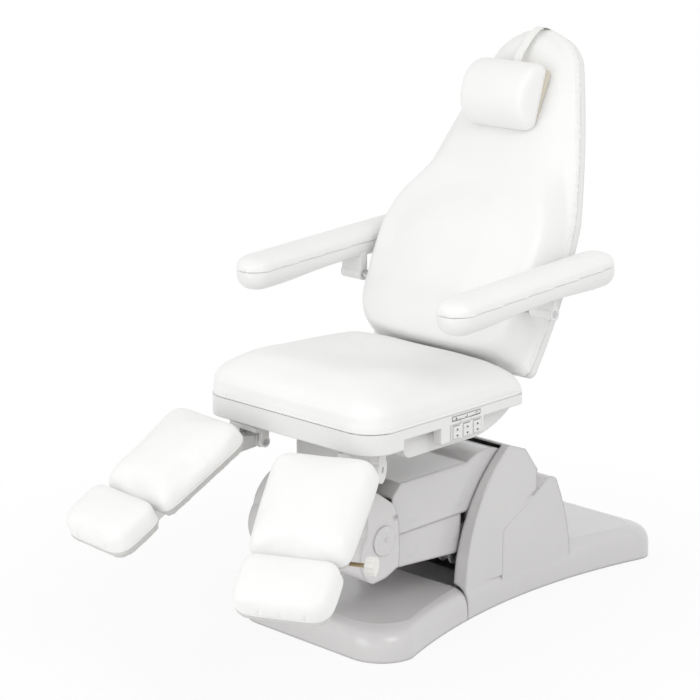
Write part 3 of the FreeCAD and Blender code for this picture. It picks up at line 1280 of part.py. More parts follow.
def leg_rest(side):
    name = "left" if side > 0 else "right"
    swing, frame = leg_frame(side, False), leg_frame(side)
    pin, gap = val("leg_pin_radius"), val("running_gap")

    def outward(low, high):
        """A stretch across the leg, measured outwards."""
        return (low, high) if side > 0 else (-high, -low)

    # yoke: a plate under the seat rail with a drum at its outer end and a small ear at the inner end
    out, inside, play = val("yoke_out"), val("yoke_in"), 3
    hub_out, hub_in = val("hub_out"), val("hub_in")
    top = local_box("yoke_top_" + name, swing, outward(-inside, out), (-30, 30), (28, 40))
    ears = []
    for part, span, radius in (("drum", outward(hub_out + play, out), val("drum_hub")),
                               ("ear", outward(-inside, -hub_in - play), 13)):
        ears.append(local_rod("yoke_%s_%s" % (part, name), swing, "x", span, (0, 0), radius))
        depth = (-radius * 0.8, radius * 0.8)
        ears.append(local_box("yoke_%s_cheek_%s" % (part, name), swing, span, depth, (0, 30)))
    bore = local_rod("yoke_bore_" + name, swing, "x", outward(-inside - 5, out + 5), (0, 0), pin)
    eye = local_rod("yoke_eye_" + name, swing, "z", (0, 60), (0, 0), val("swivel_radius") + gap)
    clear = local_box("yoke_clear_" + name, swing, outward(-hub_in - play, hub_out + play),
                      (-60, 60), (-60, 28))
    yoke = fuse("yoke_body_" + name, top, *ears)
    node("leg_yoke_" + name, cut("leg_yoke_" + name, yoke, bore, eye, clear))
    node("leg_pin_" + name, local_rod("leg_pin_" + name, swing, "x", outward(-inside, out), (0, 0), pin))

    # leg arm: hub, riser, outer tube and calf plate
    base, plate, tube, wall = val("pad_base"), val("pad_plate"), val("leg_tube"), val("leg_tube_wall")
    start, calf, foot = val("calf_start"), val("calf_length"), val("foot_length")
    tube_top = base - plate
    tube_low = tube_top - tube
    end = start + calf - 20
    hub = local_rod("leg_hub_" + name, frame, "x", outward(-hub_in, hub_out), (0, 0), val("hub_radius"))
    strut_outline = (0, -15), [
        (0, 14),
        (-start - 15, tube_top),
        (-start - 49, tube_top),
        (-start - 49, tube_low + 4),
        (-start + 5, 20),
    ]
    strut_side = frame.multiply(shifted(SIDE, 0, 0, outward(5, hub_out)[0]))
    strut = prism("leg_strut_" + name, strut_outline, strut_side, "hub_out - 5")
    outer = local_box("leg_outer_" + name, frame, (-tube / 2, tube / 2), (-end, -start - 5),
                      (tube_low, tube_top))
    calf_plate = local_box("calf_plate_" + name, frame, (-90, 90), (-start - calf + 40, -start - 30),
                           (tube_top, base))
    centre = (tube_low + tube_top) / 2
    clamp = (28 - end, centre)
    boss = local_rod("clamp_boss_" + name, frame, "x", outward(tube / 2, tube / 2 + 12), clamp, 12)
    hollow = local_box("leg_hollow_" + name, frame, (wall - tube / 2, tube / 2 - wall),
                       (-end - 5, -start - 49), (tube_low + wall, tube_top - wall))
    pin_bore = local_rod("leg_bore_" + name, frame, "x", (-100, 100), (0, 0), pin + gap)
    screw = val("screw_radius")
    thread = local_rod("clamp_thread_" + name, frame, "x", outward(tube / 2 - wall - 1, tube / 2 + 20),
                       clamp, screw + gap)
    body = fuse("leg_body_" + name, hub, strut, outer, calf_plate, boss)
    node("leg_arm_" + name, cut("leg_arm_" + name, body, hollow, pin_bore, thread))

    # foot tube: slides in the leg tube and carries the foot plate
    half = tube / 2 - wall - val("slide_gap")
    foot_start = start + calf + val("pad_gap")
    foot_end = foot_start + foot
    inner = local_box("foot_inner_" + name, frame, (-half, half), (-foot_end + 45, -start - 60),
                      (centre - half, centre + half))
    post = local_box("foot_post_" + name, frame, (-half, half), (-foot_end + 46, -foot_start - 20),
                     (centre, tube_top + 1))
    foot_plate = local_box("foot_plate_" + name, frame, (-80, 80), (-foot_end + 30, -foot_start - 14),
                           (tube_top, base))
    core = local_box("foot_core_" + name, frame, (3 - half, half - 3), (-foot_end + 55, -start - 20),
                     (centre - half + 3, centre + half - 3))
    foot_body = fuse("foot_body_" + name, inner, post, foot_plate)
    node("foot_tube_" + name, cut("foot_tube_" + name, foot_body, core))

    # clamp screw and its fluted knob on the outer side
    reach = val("knob_reach")
    tip = half + 0.15
    shank = local_rod("clamp_screw_" + name, frame, "x", outward(tip, reach - 12), clamp, screw)
    node("clamp_screw_" + name, shank)
    knob = local_rod("knob_body_" + name, frame, "x", outward(reach - 22, reach), clamp, val("knob_radius"))
    hole = local_rod("knob_hole_" + name, frame, "x", outward(reach - 30, reach - 12), clamp, screw)
    flutes = []
    count = 10
    for index in range(count):
        turn = 2 * math.pi * index / count
        ring = val("knob_radius") + 2
        place = (clamp[0] + ring * math.cos(turn), clamp[1] + ring * math.sin(turn))
        label = "flute_%d_%s" % (index, name)
        flutes.append(local_rod(label, frame, "x", outward(reach - 30, reach + 5), place, 4.5))
    node("clamp_knob_" + name, cut("clamp_knob_" + name, knob, hole, *flutes))

    # pads: drawn in at the plate, a seam low on the side, a crowned top
    def calf_outline(inset):
        knee, ankle = val("calf_wide") / 2 - inset, val("waist_wide") / 2 - inset
        y0, y1 = -start - inset, -start - calf + inset
        radius = max(42 - inset * 0.8, 8)
        points = [(-ankle, y1), (ankle, y1), (knee, y0), (-knee, y0)]
        return rounded(points, [radius * 0.6, radius * 0.6, radius, radius])

    def foot_outline(inset):
        ankle, toe = val("waist_wide") / 2 - inset, val("waist_wide") / 2 - 2 - inset
        y0, y1 = -foot_start - inset, -foot_end + inset
        radius = max(42 - inset * 0.8, 8)
        points = [(-toe, y1), (toe, y1), (ankle, y0), (-ankle, y0)]
        return rounded(points, [radius, radius, radius * 0.6, radius * 0.6])

    high = val("pad_thick")
    levels = [
        (base + 0.3, 6), (base + 10, 1), (base + 30, 0), (base + high - 28, 1), (base + high - 14, 10),
        (base + high - 5, 30), (base + high, 60)]
    node("calf_pad_" + name, stack("calf_pad_" + name, calf_outline, frame, levels))
    node("foot_pad_" + name, stack("foot_pad_" + name, foot_outline, frame, levels))


def build():
    for make in (
            base_plate, base_front_cover, base_rear_cover, power_inlet, tower_frame, tower_shafts,
            lift_drive, lift_rod, control_box, lower_link, upper_link, arm_upper_cover, arm_lower_cover,
            carrier, carrier_pins, nose_cover, pivot_caps, tilt_drive, tilt_rod, seat_frame,
            pins_of_the_seat, seat_board, seat_cushion, seat_pan, seat_fairing, back_drive, back_rod,
            switches, back_frame, arm_pivot_pins, back_board, back_shell, back_cushion, head_pillow,
            pillow_strap):
        make()
    for side in (1, -1):
        armrest(side)
        leg_rest(side)


def export():
    """Writes every sub-part after checking the whole document."""
    doc.recompute()
    failed = [item.Name for item in doc.Objects if {"Invalid", "Error"} & set(item.State)]
    for name, item in NODES.items():
        if item.Shape.isNull() or not item.Shape.isValid() or item.Shape.Volume <= 0:
            failed.append(name)
    if failed:
        raise RuntimeError("failed: " + ", ".join(failed))
    os.makedirs("parts", exist_ok=True)
    for name, item in NODES.items():
        item.Shape.exportStep("parts/%s.step" % name)
        limits = item.Shape.BoundBox
        print("%-20s %d solids" % (name, len(item.Shape.Solids)), end=", ")
        for axis in "XYZ":
            span = getattr(limits, axis + "Min"), getattr(limits, axis + "Max")
            print("%s %7.1f %7.1f" % ((axis,) + span), end="  ")
        print()


build()
export()
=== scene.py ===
import json
import math

import bpy
import numpy as np
from mathutils import Matrix, Vector


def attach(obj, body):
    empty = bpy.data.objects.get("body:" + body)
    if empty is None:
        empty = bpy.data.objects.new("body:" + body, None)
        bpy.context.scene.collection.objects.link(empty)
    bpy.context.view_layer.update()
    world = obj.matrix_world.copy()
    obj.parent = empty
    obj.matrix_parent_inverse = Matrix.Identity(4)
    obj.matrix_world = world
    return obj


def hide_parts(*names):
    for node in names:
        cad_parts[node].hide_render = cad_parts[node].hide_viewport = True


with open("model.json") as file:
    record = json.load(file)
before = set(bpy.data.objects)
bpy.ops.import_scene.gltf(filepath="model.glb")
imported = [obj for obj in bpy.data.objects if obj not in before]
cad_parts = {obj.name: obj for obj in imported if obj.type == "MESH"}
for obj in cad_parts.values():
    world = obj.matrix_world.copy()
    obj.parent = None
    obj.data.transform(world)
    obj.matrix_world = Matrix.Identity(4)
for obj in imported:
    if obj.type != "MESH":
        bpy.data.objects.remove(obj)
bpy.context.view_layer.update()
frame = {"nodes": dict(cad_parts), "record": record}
nodes = frame["nodes"]
scene = bpy.context.scene
scene.view_settings.view_transform = "Standard"

# Rest places of the soft parts, as in the part's source: metres and degrees.
SEAT_Z = 0.585
BACK_FOOT = (0, 0.220, 0.590)
BACK_LEAN = 24.5
BACK_RIM = 0.022
PILLOW_FOOT = (0, 0.604, 0.079)
PILLOW_TILT = 8.3
ARM_PLACE = (0.332, 0.1045, 0.861)
ARM_PITCH = 3.4
LEG_PLACE = (0.150, -0.310, 0.476)
LEG_TURNS = {"left": (25.6, 35.8), "right": (4.3, 29.9)}
PAD_BASE = 0.100
CALF_END = 0.362
FOOT_START = 0.370
FOOT_END = 0.508
SIDES = {"left": 1, "right": -1}


def turned(axis, degrees):
    return Matrix.Rotation(math.radians(degrees), 4, axis)


SEAT = Matrix.Translation((0, 0, SEAT_Z))
BACK = Matrix.Translation(BACK_FOOT) @ turned("X", 90 - BACK_LEAN)
PILLOW = BACK @ Matrix.Translation(PILLOW_FOOT) @ turned("X", PILLOW_TILT)


def arm_place(side):
    x, y, z = ARM_PLACE
    return Matrix.Translation((SIDES[side] * x, y, z)) @ turned("X", ARM_PITCH)


def leg_place(side):
    x, y, z = LEG_PLACE
    swing, tilt = LEG_TURNS[side]
    swung = turned("Z", SIDES[side] * swing)
    return Matrix.Translation((SIDES[side] * x, y, z)) @ swung @ turned("X", tilt)


# Materials

def give(tree, item, inputs):
    """Sets a node's inputs, by name or number, to values or to other nodes' sockets."""
    for key, value in inputs.items():
        if isinstance(value, bpy.types.NodeSocket):
            tree.links.new(value, item.inputs[key])
        else:
            item.inputs[key].default_value = value


def add(tree, kind, inputs=None, **settings):
    """A shader node with its settings and inputs."""
    item = tree.nodes.new(kind)
    for key, value in settings.items():
        setattr(item, key, value)
    give(tree, item, inputs or {})
    return item


def mixed(tree, factor, first, second):
    """A colour between two colours."""
    item = add(tree, "ShaderNodeMix", data_type="RGBA")
    give(tree, item, {0: factor, 6: first, 7: second})
    return item.outputs[2]


def shade(colour, times):
    return tuple(min(part * times, 1.0) for part in colour) + (1.0,)


def spread(tree, value, low, high, start=0.3, end=0.7):
    """A value mapped from one range to another; a noise's own range unless given."""
    item = add(tree, "ShaderNodeMapRange", {
        "Value": value, "From Min": start, "From Max": end, "To Min": low, "To Max": high})
    return item.outputs["Result"]


def mottled(tree, value, colour, dark, light):
    """A colour that a noise varies between a darker and a lighter shade."""
    return mixed(tree, spread(tree, value, 0, 1), shade(colour, dark), shade(colour, light))


def blank(name):
    """A material with its node tree, its shader and its object coordinates."""
    made = bpy.data.materials.new(name)
    made.use_nodes = True
    tree = made.node_tree
    where = tree.nodes.new("ShaderNodeTexCoord").outputs["Object"]
    return made, tree, tree.nodes["Principled BSDF"], where


def noise(tree, where, scale, detail=2.0, rough=0.5, output="Fac"):
    item = add(tree, "ShaderNodeTexNoise", {
        "Vector": where, "Scale": scale, "Detail": detail, "Roughness": rough})
    return item.outputs[output]


def stretched(tree, where, scale):
    return add(tree, "ShaderNodeMapping", {"Vector": where, "Scale": scale}).outputs["Vector"]


def bumped(tree, height, strength, depth, normal=None):
    """A normal that follows a height, over another normal if there is one."""
    item = add(tree, "ShaderNodeBump", {"Height": height, "Strength": strength, "Distance": depth})
    if normal is not None:
        give(tree, item, {"Normal": normal})
    return item.outputs["Normal"]


def soft_edges(tree, radius, samples):
    return add(tree, "ShaderNodeBevel", {"Radius": radius}, samples=samples).outputs["Normal"]


def pointiness(tree):
    return tree.nodes.new("ShaderNodeNewGeometry").outputs["Pointiness"]


def moulding(name, colour, rough, peel=420, peel_depth=0.00006, soften=0.003, coat=0.0, mottle=0.008):
    """Moulded plastic: soft edges, a faint orange peel, and handling marks in the gloss."""
    made, tree, shader, where = blank(name)
    broad = noise(tree, where, scale=5.0, detail=3.0)
    marks = noise(tree, where, scale=16.0, detail=4.0, rough=0.55)
    peeled = noise(tree, where, scale=peel)
    rounded = soft_edges(tree, soften, samples=8)
    give(tree, shader, {
        "Base Color": mottled(tree, broad, colour, 1 - mottle, 1 + mottle),
        "Roughness": spread(tree, marks, rough * 0.92, rough * 1.12),
        "Normal": bumped(tree, peeled, strength=0.12, depth=peel_depth, normal=rounded),
        "Coat Weight": coat,
        "Coat Roughness": 0.08})
    return made


VINYL_WARP = 0.0016
VINYL_HOLLOW_TINT = (0.90, 0.89, 0.86)


def vinyl(name, colour, rough=0.42, grain=640):
    """Soft upholstery vinyl: fine pebble grain, slack waviness, a little darker and warmer in the
    hollows.
    """
    made, tree, shader, where = blank(name)
    warp = noise(tree, where, scale=160.0, output="Color")
    bent = add(tree, "ShaderNodeVectorMath", {0: warp, 1: (VINYL_WARP,) * 3, 2: where},
               operation="MULTIPLY_ADD").outputs[0]
    pebble = add(tree, "ShaderNodeTexVoronoi", {"Vector": bent, "Scale": grain}, feature="SMOOTH_F1")
    broad = noise(tree, where, scale=7.0, detail=4.0)
    tone = mottled(tree, broad, colour, 0.985, 1.012)
    hollow_tinted = tuple(part * share for part, share in zip(colour, VINYL_HOLLOW_TINT)) + (1.0,)
    # Darker and warmer tone where pointiness finds a hollow.
    hollow = spread(tree, pointiness(tree), 1.0, 0.0, start=0.40, end=0.485)
    wiped = noise(tree, where, scale=22.0, detail=5.0, rough=0.6)
    wavy = bumped(tree, noise(tree, where, scale=38.0), strength=0.25, depth=0.0009)
    give(tree, shader, {
        "Base Color": mixed(tree, hollow, tone, hollow_tinted),
        "Roughness": spread(tree, wiped, rough - 0.07, rough + 0.08),
        "Normal": bumped(tree, pebble.outputs["Distance"], strength=0.30, depth=0.00028, normal=wavy),
        "Specular IOR Level": 0.42})
    return made


def powder_coat(name, colour, rough):
    """Powder-coated steel: fine orange peel, soft edges that show a lighter rub."""
    made, tree, shader, where = blank(name)
    broad = noise(tree, where, scale=11.0, detail=4.0)
    tone = mottled(tree, broad, colour, 0.95, 1.04)
    rubbed = spread(tree, pointiness(tree), 0.0, 1.0, start=0.52, end=0.60)
    peel = noise(tree, where, scale=900.0)
    rounded = soft_edges(tree, 0.0015, samples=4)
    give(tree, shader, {
        "Base Color": mixed(tree, rubbed, tone, shade(colour, 1.25)),
        "Roughness": spread(tree, peel, rough * 0.85, rough * 1.2),
        "Normal": bumped(tree, peel, strength=0.4, depth=0.00015, normal=rounded)})
    return made


def metal(name, colour, rough, brushed=(1.0, 1.0, 60.0)):
    """Bare metal with turning or grinding lines."""
    made, tree, shader, where = blank(name)
    lines = noise(tree, stretched(tree, where, brushed), scale=30.0, detail=6.0, rough=0.65)
    rounded = soft_edges(tree, 0.0006, samples=4)
    give(tree, shader, {
        "Base Color": mottled(tree, lines, colour, 0.88, 1.08),
        "Roughness": spread(tree, lines, rough * 0.7, rough * 1.4),
        "Normal": bumped(tree, lines, strength=0.25, depth=0.00008, normal=rounded),
        "Metallic": 1.0})
    return made


def plywood(name, colour, grain=(1.2, 14.0, 14.0)):
    """Plain plywood: long grain with darker late wood."""
    made, tree, shader, where = blank(name)
    rings = noise(tree, stretched(tree, where, grain), scale=6.0, detail=6.0, rough=0.6)
    give(tree, shader, {
        "Base Color": mottled(tree, rings, colour, 0.72, 1.06),
        "Roughness": spread(tree, rings, 0.55, 0.75),
        "Normal": bumped(tree, rings, strength=0.3, depth=0.0003)})
    return made


WHITE_VINYL = (0.84, 0.84, 0.83)
STRAP_WHITE = (0.83, 0.83, 0.81)
THREAD_WHITE = (0.80, 0.80, 0.77)
# Grey of the band below a leg pad's seam: partly its own colour, partly painted shade.
BOXING_GREY_AND_SHADE = (0.60, 0.595, 0.58)
# Cream of the wedge behind the pillow: a painted warm shadow in the gap.
GAP_SHADE_CREAM = (0.66, 0.61, 0.52)
COVER_GREY = (0.63, 0.62, 0.62)
TRIM_WHITE = (0.78, 0.78, 0.77)
SWITCH_WHITE = (0.76, 0.76, 0.74)
KNOB_WHITE = (0.80, 0.79, 0.76)
GRAIN_BLACK = (0.03, 0.03, 0.032)
INK_AND_SHADE_BLACK = (0.10, 0.10, 0.11)

finishes = {
    "upholstery": vinyl("white_vinyl", WHITE_VINYL),
    "strap_vinyl": vinyl("strap_vinyl", STRAP_WHITE, rough=0.36, grain=900),
    "cover_plastic": moulding("gloss_cover", COVER_GREY, rough=0.22, coat=0.3, soften=0.011),
    "cap_plastic": moulding("gloss_cap", COVER_GREY, rough=0.26, coat=0.2),
    "trim_plastic": moulding("satin_trim", TRIM_WHITE, rough=0.34, peel=800, soften=0.006),
    "switch_plastic": moulding("switch_white", SWITCH_WHITE, rough=0.28, peel=900, soften=0.0008),
    "knob_plastic": moulding("knob_white", KNOB_WHITE, rough=0.36, peel=700, peel_depth=0.0001,
                             soften=0.0012),
    "black_plastic": moulding("black_grain", GRAIN_BLACK, rough=0.46, peel=1100, peel_depth=0.0003,
                              soften=0.0015, mottle=0.1),
    "dark_steel": powder_coat("dark_powder", (0.16, 0.155, 0.155), rough=0.42),
    "frame_steel": powder_coat("grey_powder", (0.56, 0.56, 0.56), rough=0.40),
    "yoke_paint": powder_coat("white_powder", (0.66, 0.66, 0.65), rough=0.36),
    "drive_grey": powder_coat("drive_powder", (0.10, 0.105, 0.12), rough=0.40),
    "bright_steel": metal("ground_steel", (0.62, 0.62, 0.63), rough=0.26),
    "brass": metal("aged_brass", (0.40, 0.32, 0.20), rough=0.32, brushed=(60.0, 1.0, 1.0)),
    "board_wood": plywood("plain_plywood", (0.48, 0.33, 0.18)),
}
flush = moulding("flush_cover", COVER_GREY, rough=0.22, coat=0.3, soften=0.0)
# Dark ink for the printed marks, also the painted shade in the screws' cross recesses.
ink_and_recess_shade = moulding("dark_print_and_recess_shade", INK_AND_SHADE_BLACK, rough=0.45, peel=1500, peel_depth=0.00004, soften=0.0003)
thread = vinyl("white_thread", THREAD_WHITE, rough=0.55, grain=2400)
boxing_with_shade = vinyl("boxing_vinyl_with_painted_shade", BOXING_GREY_AND_SHADE, rough=0.46, grain=700)
gap_shadow_cream = vinyl("cream_painted_gap_shadow", GAP_SHADE_CREAM, rough=0.60, grain=1400)

slot_of = {part["node"]: part["material_slot"] for part in frame["record"]["subparts"]}
for name, item in nodes.items():
    for place in item.material_slots:
        place.link = "OBJECT"
        place.material = finishes[slot_of[name]]


# Mesh helpers

def new_object(name, mesh):
    obj = bpy.data.objects.new(name, mesh)
    scene.collection.objects.link(obj)
    return obj


def mesh_of(name, points, faces, smooth=True):
    mesh = bpy.data.meshes.new(name)
    mesh.from_pydata([tuple(point) for point in points], [], faces)
    mesh.polygons.foreach_set("use_smooth", [smooth] * len(mesh.polygons))
    mesh.update()
    return mesh


def paint(obj, finish):
    obj.data.materials.clear()
    obj.data.materials.append(finish)


def dress(obj, body, finish):
    """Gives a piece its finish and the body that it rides."""
    paint(obj, finish)
    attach(obj, body)


def evaluated(obj):
    """The object's mesh with its modifiers applied."""
    graph = bpy.context.evaluated_depsgraph_get()
    return bpy.data.meshes.new_from_object(obj.evaluated_get(graph), depsgraph=graph)


def apply_all(obj):
    mesh = evaluated(obj)
    obj.modifiers.clear()
    obj.data = mesh


def vertex_values(mesh, key):
    flat = np.empty(len(mesh.vertices) * 3)
    mesh.vertices.foreach_get(key, flat)
    return flat.reshape(-1, 3)


def points_of(mesh):
    return vertex_values(mesh, "co")


def normals_of(mesh):
    return vertex_values(mesh, "normal")


def set_points(mesh, points):
    mesh.vertices.foreach_set("co", points.ravel())
    mesh.update()


def into(place, points):
    """Points in a local frame."""
    inverse = np.array(place.inverted())
    return points @ inverse[:3, :3].T + inverse[:3, 3]


def turned_into(place, vectors):
    return vectors @ np.array(place.inverted())[:3, :3].T


def out_of(place, points):
    matrix = np.array(place)
    return points @ matrix[:3, :3].T + matrix[:3, 3]


def local_of(obj, place):
    """The points and normals of an object in a local frame."""
    return into(place, points_of(obj.data)), turned_into(place, normals_of(obj.data))


def shaped(obj, place, move):
    """Moves a skin's points by a function of their local place and facing."""
    set_points(obj.data, out_of(place, move(*local_of(obj, place))))


def bell(value, middle, width):
    return np.exp(-((value - middle) / width) ** 2)


def ramp(value, start, end):
    step = np.clip((value - start) / (end - start), 0, 1)
    return step * step * (3 - 2 * step)


def unit(vectors):
    return vectors / np.linalg.norm(vectors, axis=1)[:, None]


def merged(parts):
    """One list of points and one of faces out of several."""
    points, faces = [], []
    for more_points, more_faces in parts:
        start = len(points)
        points += list(more_points)
        faces += [tuple(index + start for index in face) for face in more_faces]
    return points, faces


def lofted(rings, looped=False):
    """Points and faces that join equal rings into a tube, with capped ends or closed on itself."""
    count, size = len(rings), len(rings[0])
    points = [point for ring in rings for point in ring]
    faces = []
    for here in range(count if looped else count - 1):
        low, high = here * size, (here + 1) % count * size
        for index in range(size):
            nearby = (index + 1) % size
            faces.append((low + index, low + nearby, high + nearby, high + index))
    if not looped:
        faces.append(tuple(range(size - 1, -1, -1)))
        faces.append(tuple(range((count - 1) * size, count * size)))
    return points, faces


def made_in(place, name, points, faces, smooth=True):
    """An object from points in a local frame."""
    return new_object(name, mesh_of(name, out_of(place, np.array(points)), faces, smooth))


def smooth_line(points, steps):
    """A line that passes through points, with several steps in each stretch."""
    points = np.array(points)
    longer = np.vstack([2 * points[0] - points[1], points, 2 * points[-1] - points[-2]])
    made = []
    for index in range(len(points) - 1):
        before, first, second, after = longer[index:index + 4]
        for step in range(steps):
            t = step / steps
            made.append(0.5 * (2 * first + (second - before) * t
                               + (2 * before - 5 * first + 4 * second - after) * t ** 2
                               + (3 * first - before - 3 * second + after) * t ** 3))
    made.append(points[-1])
    return np.array(made)


def square_to(line):
    """At each point of a flat line, the direction to its left."""
    along = unit(np.gradient(line, axis=0))
    return np.column_stack([-along[:, 1], along[:, 0]])


# Upholstery: a skin over the CAD solid, calmed, filled, shaped and sewn

CALM_RATE = 0.5
FOOT_CALM = 0.15
FOOT_FADE = (0.004, 0.022)
FILL_FRAMES = 20
FILL_PRESSURE = 4.0
FILL_HELD_FADE = 0.012
FILL_CALM_FADE = 0.015
FACING_SIDEWAYS = (0.15, 0.5)
GROOVE_WIDTH = 0.0035
WELT_STEP = 0.006
WELT_SIDES = 8
WELT_PROUD = 0.35
STITCH_STEP = 0.0072
STITCH_LIFT = 0.0001
STITCH_LONG = 0.0042
STITCH_RADIUS = 0.00045
STITCH_SIDES = 6
STITCH_RINGS = ((-0.5, 0.35, -0.6), (-0.3, 1.0, 0.2), (0.3, 1.0, 0.2), (0.5, 0.35, -0.6))


def calm(obj, weights, rounds):
    """Relaxes a skin towards the mean of each point's neighbours, as far as the weights allow."""
    mesh = obj.data
    ends = np.empty(len(mesh.edges) * 2, dtype=np.int32)
    mesh.edges.foreach_get("vertices", ends)
    first = np.concatenate([ends[0::2], ends[1::2]])
    second = np.concatenate([ends[1::2], ends[0::2]])
    points = points_of(mesh)
    count = np.maximum(np.bincount(first, minlength=len(points)), 1)
    for _ in range(rounds):
        for axis in range(3):
            near = np.bincount(first, points[second, axis], minlength=len(points)) / count
            points[:, axis] += (near - points[:, axis]) * CALM_RATE * weights
    set_points(mesh, points)


def heights(obj, place):
    return into(place, points_of(obj.data))[:, 2]


def skin(node, name, voxel, place, base, even, extra=()):
    """An even closed skin over a soft CAD solid, with fillers merged in; its foot keeps its shape."""
    solid = nodes[node].data
    parts = [(points_of(solid), [tuple(face.vertices) for face in solid.polygons])] + list(extra)
    obj = new_object(name, mesh_of(name, *merged(parts)))
    remesh = obj.modifiers.new("skin", "REMESH")
    remesh.mode = "VOXEL"
    remesh.voxel_size = voxel
    apply_all(obj)
    start, end = FOOT_FADE
    free = ramp(heights(obj, place), base + start, base + end)
    calm(obj, FOOT_CALM + (1 - FOOT_CALM) * free, even)
    return obj


def settle(obj, place, base, out, sink=0.0025, reach=0.016):
    """Spreads the foot of a cushion over the rim it lies on."""
    def spread_foot(local, flat):
        flat[:, 2] = 0
        length = np.linalg.norm(flat, axis=1)
        flat /= np.maximum(length, 1e-6)[:, None]
        low = 1 - ramp(local[:, 2], base, base + reach)
        edge = low * ramp(length, *FACING_SIDEWAYS)
        moved = local + flat * (out * edge)[:, None]
        moved[:, 2] -= sink * edge
        return moved

    shaped(obj, place, spread_foot)


def filled(obj, held_points):
    """The points of a skin after it was pumped up in a cloth simulation, with some points held."""
    held = obj.vertex_groups.new(name="held")
    held.add([int(index) for index in held_points], 1.0, "REPLACE")
    cloth = obj.modifiers.new("filling", "CLOTH")
    settings = cloth.settings
    settings.quality = 6
    settings.use_pressure = True
    settings.uniform_pressure_force = FILL_PRESSURE
    settings.effector_weights.gravity = 0
    settings.vertex_group_mass = "held"
    settings.tension_stiffness = 40
    settings.compression_stiffness = 40
    settings.bending_stiffness = 2
    cloth.collision_settings.use_collision = False
    cloth.point_cache.frame_start = 1
    cloth.point_cache.frame_end = FILL_FRAMES
    for step in range(1, FILL_FRAMES + 1):
        scene.frame_set(step)
    mesh = evaluated(obj)
    points = points_of(mesh)
    obj.modifiers.clear()
    obj.vertex_groups.clear()
    bpy.data.meshes.remove(mesh)
    scene.frame_set(1)
    return points


def inflate(obj, place, held_below, cap, pressed, shrink=0.0):
    """Fills the skin while its foot is held, caps how far it moved and calms it."""
    mesh = obj.data
    height = heights(obj, place)
    free = ramp(height, held_below, held_below + FILL_HELD_FADE)
    begin = points_of(mesh) - normals_of(mesh) * (shrink * free)[:, None]
    set_points(mesh, begin)
    moved = filled(obj, np.nonzero(height < held_below)[0]) - begin
    length = np.linalg.norm(moved, axis=1)
    moved *= np.minimum(1, cap / np.maximum(length, 1e-9))[:, None]
    set_points(mesh, begin + moved)
    calm(obj, ramp(height, held_below, held_below + FILL_CALM_FADE), pressed)


def subdivided(obj):
    finer = obj.modifiers.new("finer", "SUBSURF")
    finer.levels = 1
    finer.render_levels = 1
    apply_all(obj)


def crossings(mesh, above):
    """The edges that cross a level, each with the crossed edges it shares a face with."""
    next_to = {}
    for face in mesh.polygons:
        keys = [(first, second) for first, second in face.edge_keys if above[first] != above[second]]
        if len(keys) == 2:
            next_to.setdefault(keys[0], []).append(keys[1])
            next_to.setdefault(keys[1], []).append(keys[0])
    return next_to


def longest_chain(next_to):
    chains, left = [], set(next_to)
    while left:
        here = min(left)
        chain = []
        while here is not None:
            chain.append(here)
            left.discard(here)
            here = next((key for key in next_to[here] if key in left), None)
        chains.append(chain)
    return max(chains, key=len)


def loop_at(obj, place, height):
    """The closed line where a local height meets a skin, as points and outward normals."""
    local, facing = local_of(obj, place)
    line, normal = [], []
    for first, second in longest_chain(crossings(obj.data, local[:, 2] > height)):
        share = (height - local[first, 2]) / (local[second, 2] - local[first, 2])
        line.append(local[first] + (local[second] - local[first]) * share)
        normal.append(facing[first] + (facing[second] - facing[first]) * share)
    return np.array(line), np.array(normal)


def even_loop(line, normal, spacing, rounds=3):
    """A closed line sampled at even steps and smoothed a little."""
    closed, facing = np.vstack([line, line[:1]]), np.vstack([normal, normal[:1]])
    along = np.concatenate([[0], np.cumsum(np.linalg.norm(np.diff(closed, axis=0), axis=1))])
    count = max(int(round(along[-1] / spacing)), 12)
    at = np.linspace(0, along[-1], count, endpoint=False)
    points = np.column_stack([np.interp(at, along, closed[:, axis]) for axis in range(3)])
    facing = np.column_stack([np.interp(at, along, facing[:, axis]) for axis in range(3)])
    for _ in range(rounds):
        points = points * 0.5 + (np.roll(points, 1, 0) + np.roll(points, -1, 0)) * 0.25
        facing = facing * 0.5 + (np.roll(facing, 1, 0) + np.roll(facing, -1, 0)) * 0.25
    return points, unit(facing)


def ring_round(centre, facing, across, radius, sides):
    """Points on a circle round a line."""
    turns = [2 * math.pi * side / sides for side in range(sides)]
    return [centre + (math.cos(turn) * facing + math.sin(turn) * across) * radius for turn in turns]


def welt(name, place, points, facing, radius):
    """A round piping sewn along a closed line."""
    along = unit(np.roll(points, -1, 0) - np.roll(points, 1, 0))
    across = unit(np.cross(along, facing))
    rings = [ring_round(*here, radius, WELT_SIDES) for here in zip(points, facing, across)]
    return made_in(place, name, *lofted(rings, looped=True))


def stitches(name, place, points, facing):
    """One small bead of thread at each point, along the line."""
    along = unit(np.roll(points, -1, 0) - np.roll(points, 1, 0))
    beads = []
    for point, way, out, across in zip(points, along, facing, np.cross(along, facing)):
        rings = []
        for shift, size, lift in STITCH_RINGS:
            centre = point + way * STITCH_LONG * shift + out * STITCH_RADIUS * lift
            rings.append(ring_round(centre, out, across, STITCH_RADIUS * size, STITCH_SIDES))
        beads.append(lofted(rings))
    return made_in(place, name, *merged(beads))


